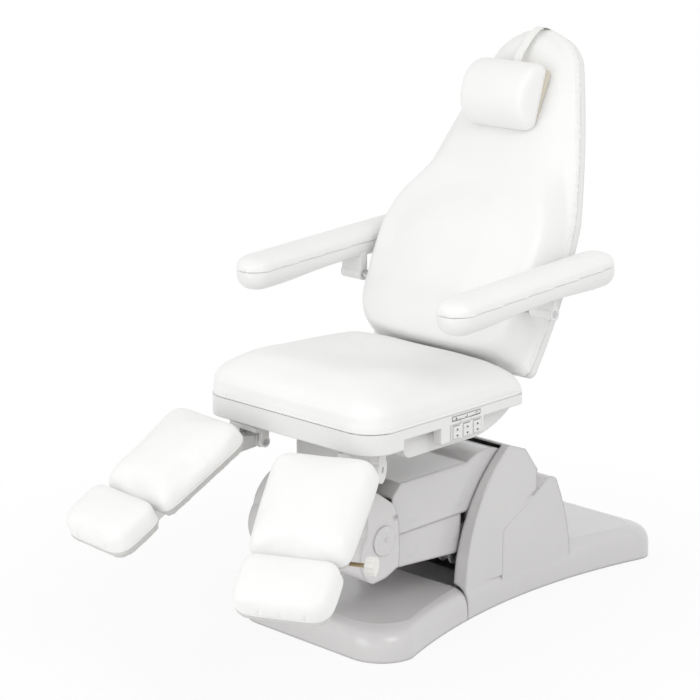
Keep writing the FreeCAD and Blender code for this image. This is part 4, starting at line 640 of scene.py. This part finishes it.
def seam(obj, name, body, place, height, welt_radius, stitch_up, groove):
    """A sewn seam round a cushion: a groove, a piping in it and a row of top stitches above."""
    def pressed_in(local, facing):
        side = ramp(1 - np.abs(facing[:, 2]), *FACING_SIDEWAYS)
        return local - facing * (groove * bell(local[:, 2], height, GROOVE_WIDTH) * side)[:, None]

    shaped(obj, place, pressed_in)
    points, facing = even_loop(*loop_at(obj, place, height), WELT_STEP)
    proud = points + facing * welt_radius * WELT_PROUD
    piping = welt(name + "_welt", place, proud, facing, welt_radius)
    dress(piping, body, finishes["upholstery"])
    points, facing = even_loop(*loop_at(obj, place, height + stitch_up), STITCH_STEP)
    sewn = stitches(name + "_stitches", place, points + facing * STITCH_LIFT, facing)
    dress(sewn, body, thread)


def finish_soft(obj, node, body):
    """Puts a cushion in the place of its CAD solid."""
    obj.data.polygons.foreach_set("use_smooth", [True] * len(obj.data.polygons))
    dress(obj, body, finishes["upholstery"])
    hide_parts(node)


# Seat cushion, in the seat's frame

SEAT_RIM = 0.0
SEAT_CALM = (0.022, 0.060)
SEAT_SEAM = 0.010
FACING_UP = (0.3, 0.9)
DISH_MIDDLE = (0.01, -0.11)
DISH_REACH = (0.16, 0.17)
DISH_DEEP = 0.015
SEAT_FULL = 0.006
SEAT_FULL_FROM = (0.016, 0.040)


def dish(local, facing):
    """A shallow hollow where one sits, and full edges."""
    bowl = bell(local[:, 0], DISH_MIDDLE[0], DISH_REACH[0])
    bowl = bowl * bell(local[:, 1], DISH_MIDDLE[1], DISH_REACH[1])
    local[:, 2] -= DISH_DEEP * bowl * ramp(facing[:, 2], *FACING_UP)
    full = bell(facing[:, 2], 0.4, 0.4) * ramp(local[:, 2], *SEAT_FULL_FROM)
    return local + facing * (SEAT_FULL * full)[:, None]


def seat_cushion():
    obj = skin("seat_cushion", "seat_upholstery", voxel=0.0065, place=SEAT, base=SEAT_RIM, even=10)
    calm(obj, ramp(heights(obj, SEAT), *SEAT_CALM), rounds=30)
    inflate(obj, SEAT, held_below=0.016, cap=0.010, pressed=40)
    subdivided(obj)
    shaped(obj, SEAT, dish)
    settle(obj, SEAT, SEAT_RIM, out=0.0060)
    seam(obj, "seat", "seat", SEAT, SEAT_SEAM, welt_radius=0.0012, stitch_up=0.0055, groove=0.0012)
    finish_soft(obj, "seat_cushion", "seat")


# Back cushion, in the backrest's frame: Y up the back, Z out of it

PIN_PLUG_UP = (0.140, 0.190)
PIN_PLUG_BASE = 0.021
PIN_PLUGS = ((0.236, 0.2655, 0.106), (0.230, 0.254, 0.1265))
BACK_CALM = (BACK_RIM + 0.018, BACK_RIM + 0.050)
BACK_RECALM = (BACK_RIM + 0.030, BACK_RIM + 0.060)
SWELL_FOOT = (-0.03, 0.045)
SWELL_FADE = (0.26, 0.68)
SWELL_FREE = (0.045, 0.070)
BACK_SEAM = BACK_RIM + 0.009
BACK_HELD = BACK_RIM + 0.012
BACK_THICK = 0.076
SWELL_RISE = 0.064
SWELL_SIDEWAYS = 0.005
SWELL_FRONT = (0.0, 0.6)
SWELL_FLANK = (0.3, 0.9)


def filler(place, x, y, z):
    """A block that closes a pocket of a soft solid before it is skinned."""
    corners = np.array([(i, j, k) for i in x for j in y for k in z])
    faces = [(0, 1, 3, 2), (4, 6, 7, 5), (0, 4, 5, 1), (2, 3, 7, 6), (0, 2, 6, 4), (1, 5, 7, 3)]
    return out_of(place, corners), faces


def pin_plugs():
    """Blocks over the armrest pins, where the CAD solid has pockets."""
    plugs = []
    for side in SIDES.values():
        for inner, outer, top in PIN_PLUGS:
            x = sorted((side * inner, side * outer))
            plugs.append(filler(BACK, x, PIN_PLUG_UP, (PIN_PLUG_BASE, top)))
    return plugs


def swell(local, facing):
    """The lumbar part rises from the seat and runs out below the shoulders."""
    zone = ramp(local[:, 1], *SWELL_FOOT) * (1 - ramp(local[:, 1], *SWELL_FADE))
    free = ramp(local[:, 2], *SWELL_FREE)
    lift = np.maximum(BACK_THICK + SWELL_RISE * zone - local[:, 2], 0)
    local[:, 2] += lift * ramp(facing[:, 2], *SWELL_FRONT) * free
    sideways = zone * free * ramp(np.abs(facing[:, 0]), *SWELL_FLANK)
    local[:, 0] += SWELL_SIDEWAYS * np.sign(local[:, 0]) * sideways
    return local


def back_cushion():
    """Backrest upholstery, closed over the armrest pins."""
    obj = skin("back_cushion", "back_upholstery", voxel=0.007, place=BACK, base=BACK_RIM, even=10,
               extra=pin_plugs())
    calm(obj, ramp(heights(obj, BACK), *BACK_CALM), rounds=260)
    inflate(obj, BACK, held_below=BACK_HELD, cap=0.012, pressed=50)
    shaped(obj, BACK, swell)
    calm(obj, ramp(heights(obj, BACK), *BACK_RECALM), rounds=45)
    subdivided(obj)
    settle(obj, BACK, BACK_RIM, out=0.0060)
    seam(obj, "back", "backrest", BACK, BACK_SEAM, welt_radius=0.0012, stitch_up=0.0055, groove=0.0012)
    finish_soft(obj, "back_cushion", "backrest")


# Head pillow, in its own frame on the backrest

PILLOW_SEAM = 0.006
PILLOW_PLUMP = 0.004
PILLOW_PLUMP_FROM = (0.004, 0.020)
WEDGE_HALF = 0.099
WEDGE_LOW = 0.006
WEDGE_HIGH = 0.156
WEDGE_ROUND = 0.004
WEDGE_TOP = -0.0015
WEDGE_ENDS = ((0.0, 0.90), (0.002, 0.97), (0.006, 1.0))


def plump(local, facing):
    return local + facing * (PILLOW_PLUMP * ramp(local[:, 2], *PILLOW_PLUMP_FROM))[:, None]


def head_pillow():
    """Small filled pillow, sewn round its lower edge."""
    obj = skin("head_pillow", "pillow_upholstery", voxel=0.005, place=PILLOW, base=0.0, even=6)
    inflate(obj, PILLOW, held_below=PILLOW_SEAM, cap=0.007, pressed=3)
    subdivided(obj)
    shaped(obj, PILLOW, plump)
    seam(obj, "pillow", "backrest", PILLOW, PILLOW_SEAM,
         welt_radius=0.0013, stitch_up=0.006, groove=0.0015)
    finish_soft(obj, "head_pillow", "backrest")


def pillow_shadow_wedge():
    """Cream wedge in the gap under the pillow's upper edge: a painted shadow that stands in for the
    warm shade between pillow and backrest.
    """
    low, high = WEDGE_LOW, WEDGE_HIGH
    thick = (high - low) * math.tan(math.radians(PILLOW_TILT))
    outline = [(low, WEDGE_TOP), (high - WEDGE_ROUND, WEDGE_TOP), (high, -0.005),
               (high, WEDGE_ROUND - thick), (high - WEDGE_ROUND, -thick),
               (high * 0.55, -thick * 0.52), (low + 0.01, -WEDGE_ROUND)]
    steps = [(inset - WEDGE_HALF, share) for inset, share in WEDGE_ENDS]
    steps += [(WEDGE_HALF - inset, share) for inset, share in WEDGE_ENDS[::-1]]
    middle_up, middle_out = 0.6 * high, -0.45 * thick
    rings = [[(x, middle_up + (up - middle_up) * share, middle_out + (out - middle_out) * share)
              for up, out in outline] for x, share in steps]
    obj = made_in(PILLOW, "pillow_shadow_wedge", *lofted(rings), smooth=False)
    dress(obj, "backrest", gap_shadow_cream)


# Armrest and leg pads, in the frames of their carriers

ARM_SEAM = 0.006
PAD_SEAM = PAD_BASE + 0.024
PAD_DRAWN = 0.013
PAD_TOES = 0.85
PAD_CALM = (PAD_SEAM, PAD_SEAM + 0.03)
PAD_HELD = PAD_SEAM - 0.004
PAD_UPPER = (PAD_BASE + 0.030, PAD_BASE + 0.062)
TOE_FADE = (FOOT_END - 0.05, FOOT_END - 0.02)
TOE_FACING = (0.2, 0.8)
LAP_FADE = (-FOOT_START - 0.045, -FOOT_START + 0.004)
LAP_OVER = 0.009
LAP_RISE = 0.005
TUCK_FADE = (-CALF_END, -CALF_END + 0.060)
TUCK_DOWN = 0.010
PLEATS = ((-0.046, 0.12), (0.006, -0.10), (0.060, 0.2))
PLEAT_DEEP = 0.0022
PLEAT_WIDTH = 0.0042
PLEAT_SHOULDER = {"middle": 0.009, "width": 0.005}
PLEAT_SHOULDER_SHARE = 0.45
PLEAT_REACH = (FOOT_END - 0.040, FOOT_END - 0.018)
PLEAT_RISE = (PAD_SEAM + 0.003, PAD_SEAM + 0.009)
PLEAT_FALL = (PAD_SEAM + 0.010, PAD_SEAM + 0.030)


def armrest_pad(side):
    """Long narrow pad on the armrest's shell."""
    place = arm_place(side)
    body = "armrest_" + side
    obj = skin("armrest_pad_" + side, "armrest_upholstery_" + side, voxel=0.0055, place=place,
               base=0.0, even=6)
    inflate(obj, place, held_below=0.008, cap=0.006, pressed=8, shrink=0.003)
    subdivided(obj)
    settle(obj, place, base=0.0, out=0.0035, sink=0.0015, reach=0.010)
    seam(obj, body, body, place, ARM_SEAM, welt_radius=0.0010, stitch_up=0.006, groove=0.0010)
    finish_soft(obj, "armrest_pad_" + side, body)


def drawn_in(local, facing):
    """Below its seam a leg pad is drawn in to its board, least at the toes."""
    below = np.clip((PAD_SEAM - local[:, 2]) / (PAD_SEAM - PAD_BASE), 0, 1)
    flat = facing.copy()
    flat[:, 2] = 0
    toes = ramp(-local[:, 1], *TOE_FADE) * ramp(-facing[:, 1], *TOE_FACING)
    return local - flat * (PAD_DRAWN * below * (1 - PAD_TOES * toes))[:, None]


def lapped(local, facing):
    """The upper end of a foot pad swells over the gap to the calf pad."""
    near = ramp(local[:, 1], *LAP_FADE)
    high = ramp(local[:, 2], *PAD_UPPER)
    local[:, 1] += LAP_OVER * near * high
    local[:, 2] += LAP_RISE * near * high
    return local


def tucked(local, facing):
    """The lower end of a calf pad falls away under the foot pad."""
    near = 1 - ramp(local[:, 1], *TUCK_FADE)
    local[:, 2] -= TUCK_DOWN * near * ramp(local[:, 2], *PAD_UPPER)
    return local


def gathers(local, facing):
    """Small pleats where the foot pad's cover is pulled round its lower edge."""
    reach = ramp(-local[:, 1], *PLEAT_REACH)
    rise = ramp(local[:, 2], *PLEAT_RISE)
    fall = 1 - ramp(local[:, 2], *PLEAT_FALL)
    for middle, slant in PLEATS:
        across = local[:, 0] - middle - (local[:, 2] - PAD_SEAM) * slant
        fold = bell(across, 0, PLEAT_WIDTH)
        fold = fold - PLEAT_SHOULDER_SHARE * bell(np.abs(across), **PLEAT_SHOULDER)
        local = local - facing * (PLEAT_DEEP * fold * reach * rise * fall)[:, None]
    return local


def boxed(obj, place):
    """The band below the seam gets a greyer vinyl: partly the boxing's own grey, partly painted shade
    of a band that faces down.
    """
    obj.data.materials.append(boxing_with_shade)
    height = heights(obj, place)
    for face in obj.data.polygons:
        if sum(height[index] for index in face.vertices) < PAD_SEAM * len(face.vertices):
            face.material_index = 1


def leg_pad(part, side, body):
    """Calf or foot pad, boxed below its seam in vinyl greyed partly with painted shade."""
    place = leg_place(side)
    node = "%s_pad_%s" % (part, side)
    obj = skin(node, "%s_upholstery_%s" % (part, side), voxel=0.0058, place=place,
               base=PAD_BASE, even=12)
    calm(obj, ramp(heights(obj, place), *PAD_CALM), rounds=14)
    inflate(obj, place, held_below=PAD_HELD, cap=0.009, pressed=8, shrink=0.003)
    subdivided(obj)
    for move in (drawn_in, lapped, gathers) if part == "foot" else (drawn_in, tucked):
        shaped(obj, place, move)
    seam(obj, "%s_%s" % (part, side), body, place, PAD_SEAM,
         welt_radius=0.0014, stitch_up=0.006, groove=0.0020)
    finish_soft(obj, node, body)
    boxed(obj, place)


# Pillow strap, in the backrest's frame: up the back and out of it

STRAP_HALF = 0.012
STRAP_THICK = 0.0018
STRAP_LINE = [
    (0.674, 0.0868), (0.758, 0.0991), (0.788, 0.1000), (0.813, 0.0905), (0.840, 0.0805),
    (0.858, 0.0705), (0.872, 0.0595), (0.8795, 0.0485), (0.8825, 0.0362), (0.8830, 0.0220),
    (0.8822, 0.0020), (0.868, -0.0012), (0.790, -0.0013), (0.700, -0.0013)]
STRAP_PROFILE = [
    (-1.0, 0.15), (-0.96, 0.85), (-0.86, 1.0), (-0.74, 0.62), (0.0, 0.55),
    (0.74, 0.62), (0.86, 1.0), (0.96, 0.85), (1.0, 0.15)]


def pillow_strap():
    """Vinyl band, thicker at its folded edges, from the pillow over the top of the back."""
    line = smooth_line(STRAP_LINE, 6)
    top = [(x * STRAP_HALF, lift * STRAP_THICK / 2) for x, lift in STRAP_PROFILE]
    section = top + [(x, -lift) for x, lift in top[::-1]]
    rings = [[(x, centre[0] + out[0] * lift, centre[1] + out[1] * lift) for x, lift in section]
             for centre, out in zip(line, square_to(line))]
    strap = made_in(BACK, "pillow_band", *lofted(rings))
    dress(strap, "backrest", finishes["strap_vinyl"])
    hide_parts("pillow_strap")


# Marks on the switches and screws on the back shell

OUTSIDE = 0.4
SWITCH_MIDDLE_Y = -0.057
SWITCH_PITCH = 0.036
SWITCH_Z = 0.541
ARROW_UP = 0.0075
ARROW = [(-0.0042, -0.0022), (0.0042, -0.0022), (0.0, 0.0034)]
LABEL_Z = 0.5745
LABEL_HALF = 0.0485
LABEL_TALL = 0.0052
LABEL_LINE = 0.0006
LABEL_SIGNS = {
    "lift": [(-0.004, -0.0005), (-0.0015, -0.0005), (-0.0015, -0.003), (0.0015, -0.003),
             (0.0015, -0.0005), (0.004, -0.0005), (0.0, 0.003)],
    "back": [(-0.004, -0.003), (0.003, -0.003), (0.0045, 0.003), (0.003, 0.003), (0.0018, -0.0015),
             (-0.004, -0.0015)],
    "tilt": [(-0.0045, -0.001), (0.0045, 0.0015), (0.0045, 0.003), (-0.0045, 0.0005)],
}
MARK_THICK = 0.0004
MARK_SUNK = 0.3
SCREW_RADIUS = 0.0055
SCREW_SIDES = 20
SCREW_RINGS = ((1.0, 0.0), (0.96, 0.16), (0.78, 0.34), (0.45, 0.44), (0.12, 0.47))
RECESS_ARM = 0.5
RECESS_HALF = 0.11
RECESS_LIFT = 0.44
RECESS_THICK = 0.06
SHELL_SCREWS = ((0.21, 0.06), (-0.21, 0.06), (0.22, 0.40), (-0.22, 0.40), (0.10, 0.80), (-0.10, 0.80))


def plate(name, body, place, outline, thick, finish):
    """A thin flat piece with an outline in a frame's XY plane, standing on Z 0."""
    rings = [[(x, y, z) for x, y in outline] for z in (0.0, thick)]
    dress(made_in(place, name, *lofted(rings), smooth=False), body, finish)


def on_surface(node, start, way, up=(0, 0, 1)):
    """A frame on a node's surface, met from outside: Z along the surface normal, Y upwards."""
    found, point, normal, _ = nodes[node].ray_cast(Vector(start), Vector(way))
    if not found:
        raise RuntimeError("no surface of %s there" % node)
    across = Vector(up).cross(normal).normalized()
    turn = Matrix((across, normal.cross(across), normal)).transposed().to_4x4()
    return Matrix.Translation(point - normal * MARK_THICK * MARK_SUNK) @ turn


def mark(name, body, node, y, z, outline):
    """A printed mark on a node's outer side."""
    place = on_surface(node, (OUTSIDE, y, z), (-1, 0, 0))
    plate(name, body, place, outline, MARK_THICK, ink_and_recess_shade)


def bar(half, tall, y=0.0, z=0.0):
    return [(y - half, z - tall), (y + half, z - tall), (y + half, z + tall), (y - half, z + tall)]


def switch_marks():
    """Arrows on the rockers, and a framed strip of plain signs above them."""
    for index, name in zip((-1, 0, 1), LABEL_SIGNS):
        y = SWITCH_MIDDLE_Y + index * SWITCH_PITCH
        rocker = "rocker_" + name
        for sign, word in ((1, "up"), (-1, "down")):
            arrow = [(sign * across, sign * up) for across, up in ARROW]
            mark("%s_%s_mark" % (rocker, word), rocker, rocker, y, SWITCH_Z + sign * ARROW_UP, arrow)
        mark("label_sign_" + name, "seat", "switch_bezel", y, LABEL_Z, LABEL_SIGNS[name])
    edges = {"top": bar(LABEL_HALF, LABEL_LINE, 0, LABEL_TALL),
             "bottom": bar(LABEL_HALF, LABEL_LINE, 0, -LABEL_TALL),
             "front": bar(LABEL_LINE, LABEL_TALL, -LABEL_HALF),
             "rear": bar(LABEL_LINE, LABEL_TALL, LABEL_HALF)}
    for name, outline in edges.items():
        mark("label_frame_" + name, "seat", "switch_bezel", SWITCH_MIDDLE_Y, LABEL_Z, outline)


def screw_head(name, body, place, radius):
    """A pan-head screw: a low dome with its cross recess painted on as a dark plate of shade."""
    turns = [2 * math.pi * index / SCREW_SIDES for index in range(SCREW_SIDES)]
    rings = [[(radius * share * math.cos(turn), radius * share * math.sin(turn), lift * radius)
              for turn in turns] for share, lift in SCREW_RINGS]
    dress(made_in(place, name, *lofted(rings)), body, finishes["bright_steel"])
    arm, half = radius * RECESS_ARM, radius * RECESS_HALF
    cross = [(arm, half), (half, half), (half, arm), (-half, arm), (-half, half), (-arm, half),
             (-arm, -half), (-half, -half), (-half, -arm), (half, -arm), (half, -half), (arm, -half)]
    # The cross recess is painted shade: a thin dark plate on the dome, not a hole.
    lifted = place @ Matrix.Translation((0, 0, radius * RECESS_LIFT))
    plate(name + "_recess_painted_shade", body, lifted, cross, radius * RECESS_THICK, ink_and_recess_shade)


def rear_screws():
    """Fasteners of the back shell."""
    behind = turned("Y", 180)
    for index, (x, up) in enumerate(SHELL_SCREWS):
        place = BACK @ Matrix.Translation((x, up, 0.0)) @ behind
        screw_head("shell_screw_%d" % index, "backrest", place, SCREW_RADIUS)


# Base: the tray in the tower's mouth, and the fins' front edges

SMOOTH_BELOW = math.radians(32)
LINER_LINE = [(0.046, 0.071), (0.066, 0.068), (0.090, 0.056), (0.120, 0.047), (0.170, 0.044),
              (0.225, 0.043)]
LINER_HALF = 0.138
LINER_WAIST = 0.020
LINER_WAIST_Y = (0.070, 0.088)
LINER_LIP = 0.010
LINER_THICK = 0.0025
FIN_FRONT_Y = 0.212
FIN_LOW_Z = 0.076
FIN_TURN_Z = 0.195
FIN_ARC = [(0.212, 0.195), (0.232, 0.2075), (0.255, 0.2195), (0.280, 0.2315), (0.305, 0.2435),
           (0.330, 0.2570)]
FIN_ROWS = 41
FIN_BLEND = 0.060
FIN_BLEND_LEAST = 0.003
FIN_CLEAR = 0.0006
FIN_LAP = 0.005
FIN_LAP_LIFT = 0.0001
FIN_SUNK = 0.0002
FIN_PROUD = 0.0001
FIN_DEEP = 0.0012


def closed_sheet(name, outer, inner):
    """A closed skin between two equal grids of points."""
    rows, columns = len(outer), len(outer[0])
    points = [point for row in outer for point in row] + [point for row in inner for point in row]
    shift = rows * columns
    faces = []
    for i in range(rows - 1):
        for j in range(columns - 1):
            a, b = i * columns + j, i * columns + j + 1
            c, d = a + columns, b + columns
            faces += [(a, b, d, c), (a + shift, c + shift, d + shift, b + shift)]
    rim = list(range(columns)) + [i * columns + columns - 1 for i in range(1, rows)]
    rim += [(rows - 1) * columns + j for j in range(columns - 2, -1, -1)]
    rim += [i * columns for i in range(rows - 2, 0, -1)]
    for here, after in zip(rim, rim[1:] + rim[:1]):
        faces.append((after, here, here + shift, after + shift))
    mesh = mesh_of(name, points, faces)
    mesh.set_sharp_from_angle(angle=SMOOTH_BELOW)
    return new_object(name, mesh)


def mouth_liner():
    """Moulded tray that closes the base below the lifting arm, clear of the arm's lever."""
    widths = np.linspace(-1, 1, 15)
    lifts = LINER_LIP * np.abs(widths) ** 8
    outer, inner = [], []
    for y, z in smooth_line(LINER_LINE, 4):
        half = LINER_HALF - LINER_WAIST * float(ramp(y, *LINER_WAIST_Y))
        outer.append([(half * x, y, z + lift) for x, lift in zip(widths, lifts)])
        inner.append([(half * x, y, z + lift - LINER_THICK) for x, lift in zip(widths, lifts)])
    obj = closed_sheet("mouth_liner", outer, inner)
    dress(obj, "base", finishes["cover_plastic"])


def tower_x(side, point):
    """Where the tower's side wall lies at a depth and height."""
    start = (SIDES[side] * OUTSIDE, *point)
    return on_surface("base_rear_cover", start, (-SIDES[side], 0, 0)).translation.x


def fin_row(side, point, way):
    """A cut across the blend: from the wall up to the fin's edge and a little over it."""
    sign = SIDES[side]
    fade = 1 - float(ramp(point[0], FIN_FRONT_Y, FIN_ARC[-1][0]))
    width = FIN_BLEND_LEAST + FIN_BLEND * fade
    step = sign * (tower_x(side, point - way * FIN_LAP) - tower_x(side, point + way * FIN_CLEAR))
    cuts = []
    for share in np.linspace(0, 1, 9):
        rise = max(step, 0) * ramp(share, 0, 1) - FIN_SUNK + (FIN_SUNK + FIN_PROUD) * share
        cuts.append((FIN_CLEAR + width * (1 - share), rise))
    cuts.append((-FIN_LAP, FIN_LAP_LIFT))
    near, far = [], []
    for reach, rise in cuts:
        y, z = point + way * reach
        wall = tower_x(side, (y, z))
        near.append((wall + sign * rise, y, z))
        far.append((wall - sign * FIN_DEEP, y, z))
    return (near, far) if side == "right" else (near[::-1], far[::-1])


def fin_blend(side):
    """The rear fin's front edge runs out smoothly into the tower's side."""
    upright = [(FIN_FRONT_Y, z) for z in np.linspace(FIN_LOW_Z, FIN_TURN_Z, FIN_ROWS)[:-1]]
    edge = np.array(upright + list(smooth_line(FIN_ARC, 3)))
    rows = [fin_row(side, point, way) for point, way in zip(edge, square_to(edge))]
    obj = closed_sheet("fin_blend_" + side, *zip(*rows))
    dress(obj, "base", flush)


seat_cushion()
back_cushion()
head_pillow()
pillow_shadow_wedge()
pillow_strap()
for arm_side in SIDES:
    armrest_pad(arm_side)
    leg_pad("calf", arm_side, "leg_arm_" + arm_side)
    leg_pad("foot", arm_side, "foot_" + arm_side)
switch_marks()
rear_screws()
mouth_liner()
for fin_side in SIDES:
    fin_blend(fin_side)


# Floor, light and camera

WHITE = (1, 1, 1, 1)
FLOOR_HALF = 45.0
FLOOR_WHITE = (0.90, 0.90, 0.90, 1)
FLOOR_GLOW = {"low": 0.84, "high": 1.0, "start": 0.7, "end": 1.5}
WORLD_STRENGTH = 0.86
CAMERA_AT = (3.5945, -3.8770, 2.0662)
CAMERA_BACK = (0.6716, -0.6955, 0.2554)
CAMERA_LENS = 115.16
CAMERA_SENSOR = 36


def plainly_seen(tree):
    """1 for the rays that show a surface to the camera, straight or in gloss and glass."""
    rays = tree.nodes.new("ShaderNodeLightPath")
    seen = rays.outputs["Is Camera Ray"]
    for kind in ("Is Glossy Ray", "Is Transmission Ray"):
        both = {0: seen, 1: rays.outputs[kind]}
        seen = add(tree, "ShaderNodeMath", both, operation="MAXIMUM").outputs[0]
    return seen


def blended(tree, factor, first, second, output):
    """Two shaders mixed into a tree's output."""
    inputs = {0: factor, 1: first.outputs[0], 2: second.outputs[0]}
    blend = add(tree, "ShaderNodeMixShader", inputs)
    add(tree, output, {"Surface": blend.outputs[0]})


def floor_material():
    """White floor: it takes the chair's shadow, and shows as plain white farther away."""
    made = bpy.data.materials.new("studio_floor")
    made.use_nodes = True
    tree = made.node_tree
    tree.nodes.clear()
    where = tree.nodes.new("ShaderNodeTexCoord").outputs["Object"]
    away = add(tree, "ShaderNodeVectorMath", {0: where}, operation="LENGTH").outputs["Value"]
    share = spread(tree, away, **FLOOR_GLOW)
    factor = add(tree, "ShaderNodeMath", {0: plainly_seen(tree), 1: share}, operation="MULTIPLY")
    matt = add(tree, "ShaderNodeBsdfDiffuse", {"Color": FLOOR_WHITE})
    glow = add(tree, "ShaderNodeEmission", {"Color": WHITE, "Strength": 1.0})
    blended(tree, factor.outputs[0], matt, glow, "ShaderNodeOutputMaterial")
    return made


def floor():
    half = FLOOR_HALF
    corners = [(-half, -half, 0), (half, -half, 0), (half, half, 0), (-half, half, 0)]
    obj = new_object("floor", mesh_of("floor", corners, [(0, 1, 2, 3)]))
    paint(obj, floor_material())


def world_light():
    """Even near-white surroundings; the camera sees plain white."""
    world = bpy.data.worlds.new("studio")
    scene.world = world
    world.use_nodes = True
    tree = world.node_tree
    tree.nodes.clear()
    light = add(tree, "ShaderNodeBackground", {"Color": WHITE, "Strength": WORLD_STRENGTH})
    white = add(tree, "ShaderNodeBackground", {"Color": WHITE, "Strength": 1.0})
    blended(tree, plainly_seen(tree), light, white, "ShaderNodeOutputWorld")


def lamp(name, place, aim, size, power):
    data = bpy.data.lights.new(name, "AREA")
    data.shape = "SQUARE"
    data.size = size
    data.energy = power
    obj = new_object(name, data)
    obj.location = place
    obj.rotation_euler = (Vector(aim) - Vector(place)).to_track_quat("-Z", "Y").to_euler()


def camera():
    """Camera at the photograph's viewing angle."""
    data = bpy.data.cameras.new("camera")
    data.lens = CAMERA_LENS
    data.sensor_width = CAMERA_SENSOR
    obj = new_object("camera", data)
    obj.location = CAMERA_AT
    obj.rotation_euler = (-Vector(CAMERA_BACK)).to_track_quat("-Z", "Y").to_euler()
    scene.camera = obj


floor()
world_light()
lamp("key", place=(-0.5, -3.8, 1.4), aim=(0, -0.1, 0.5), size=2.6, power=34)
lamp("side", place=(2.4, -0.6, 2.7), aim=(0, -0.1, 0.3), size=1.6, power=20)
camera()
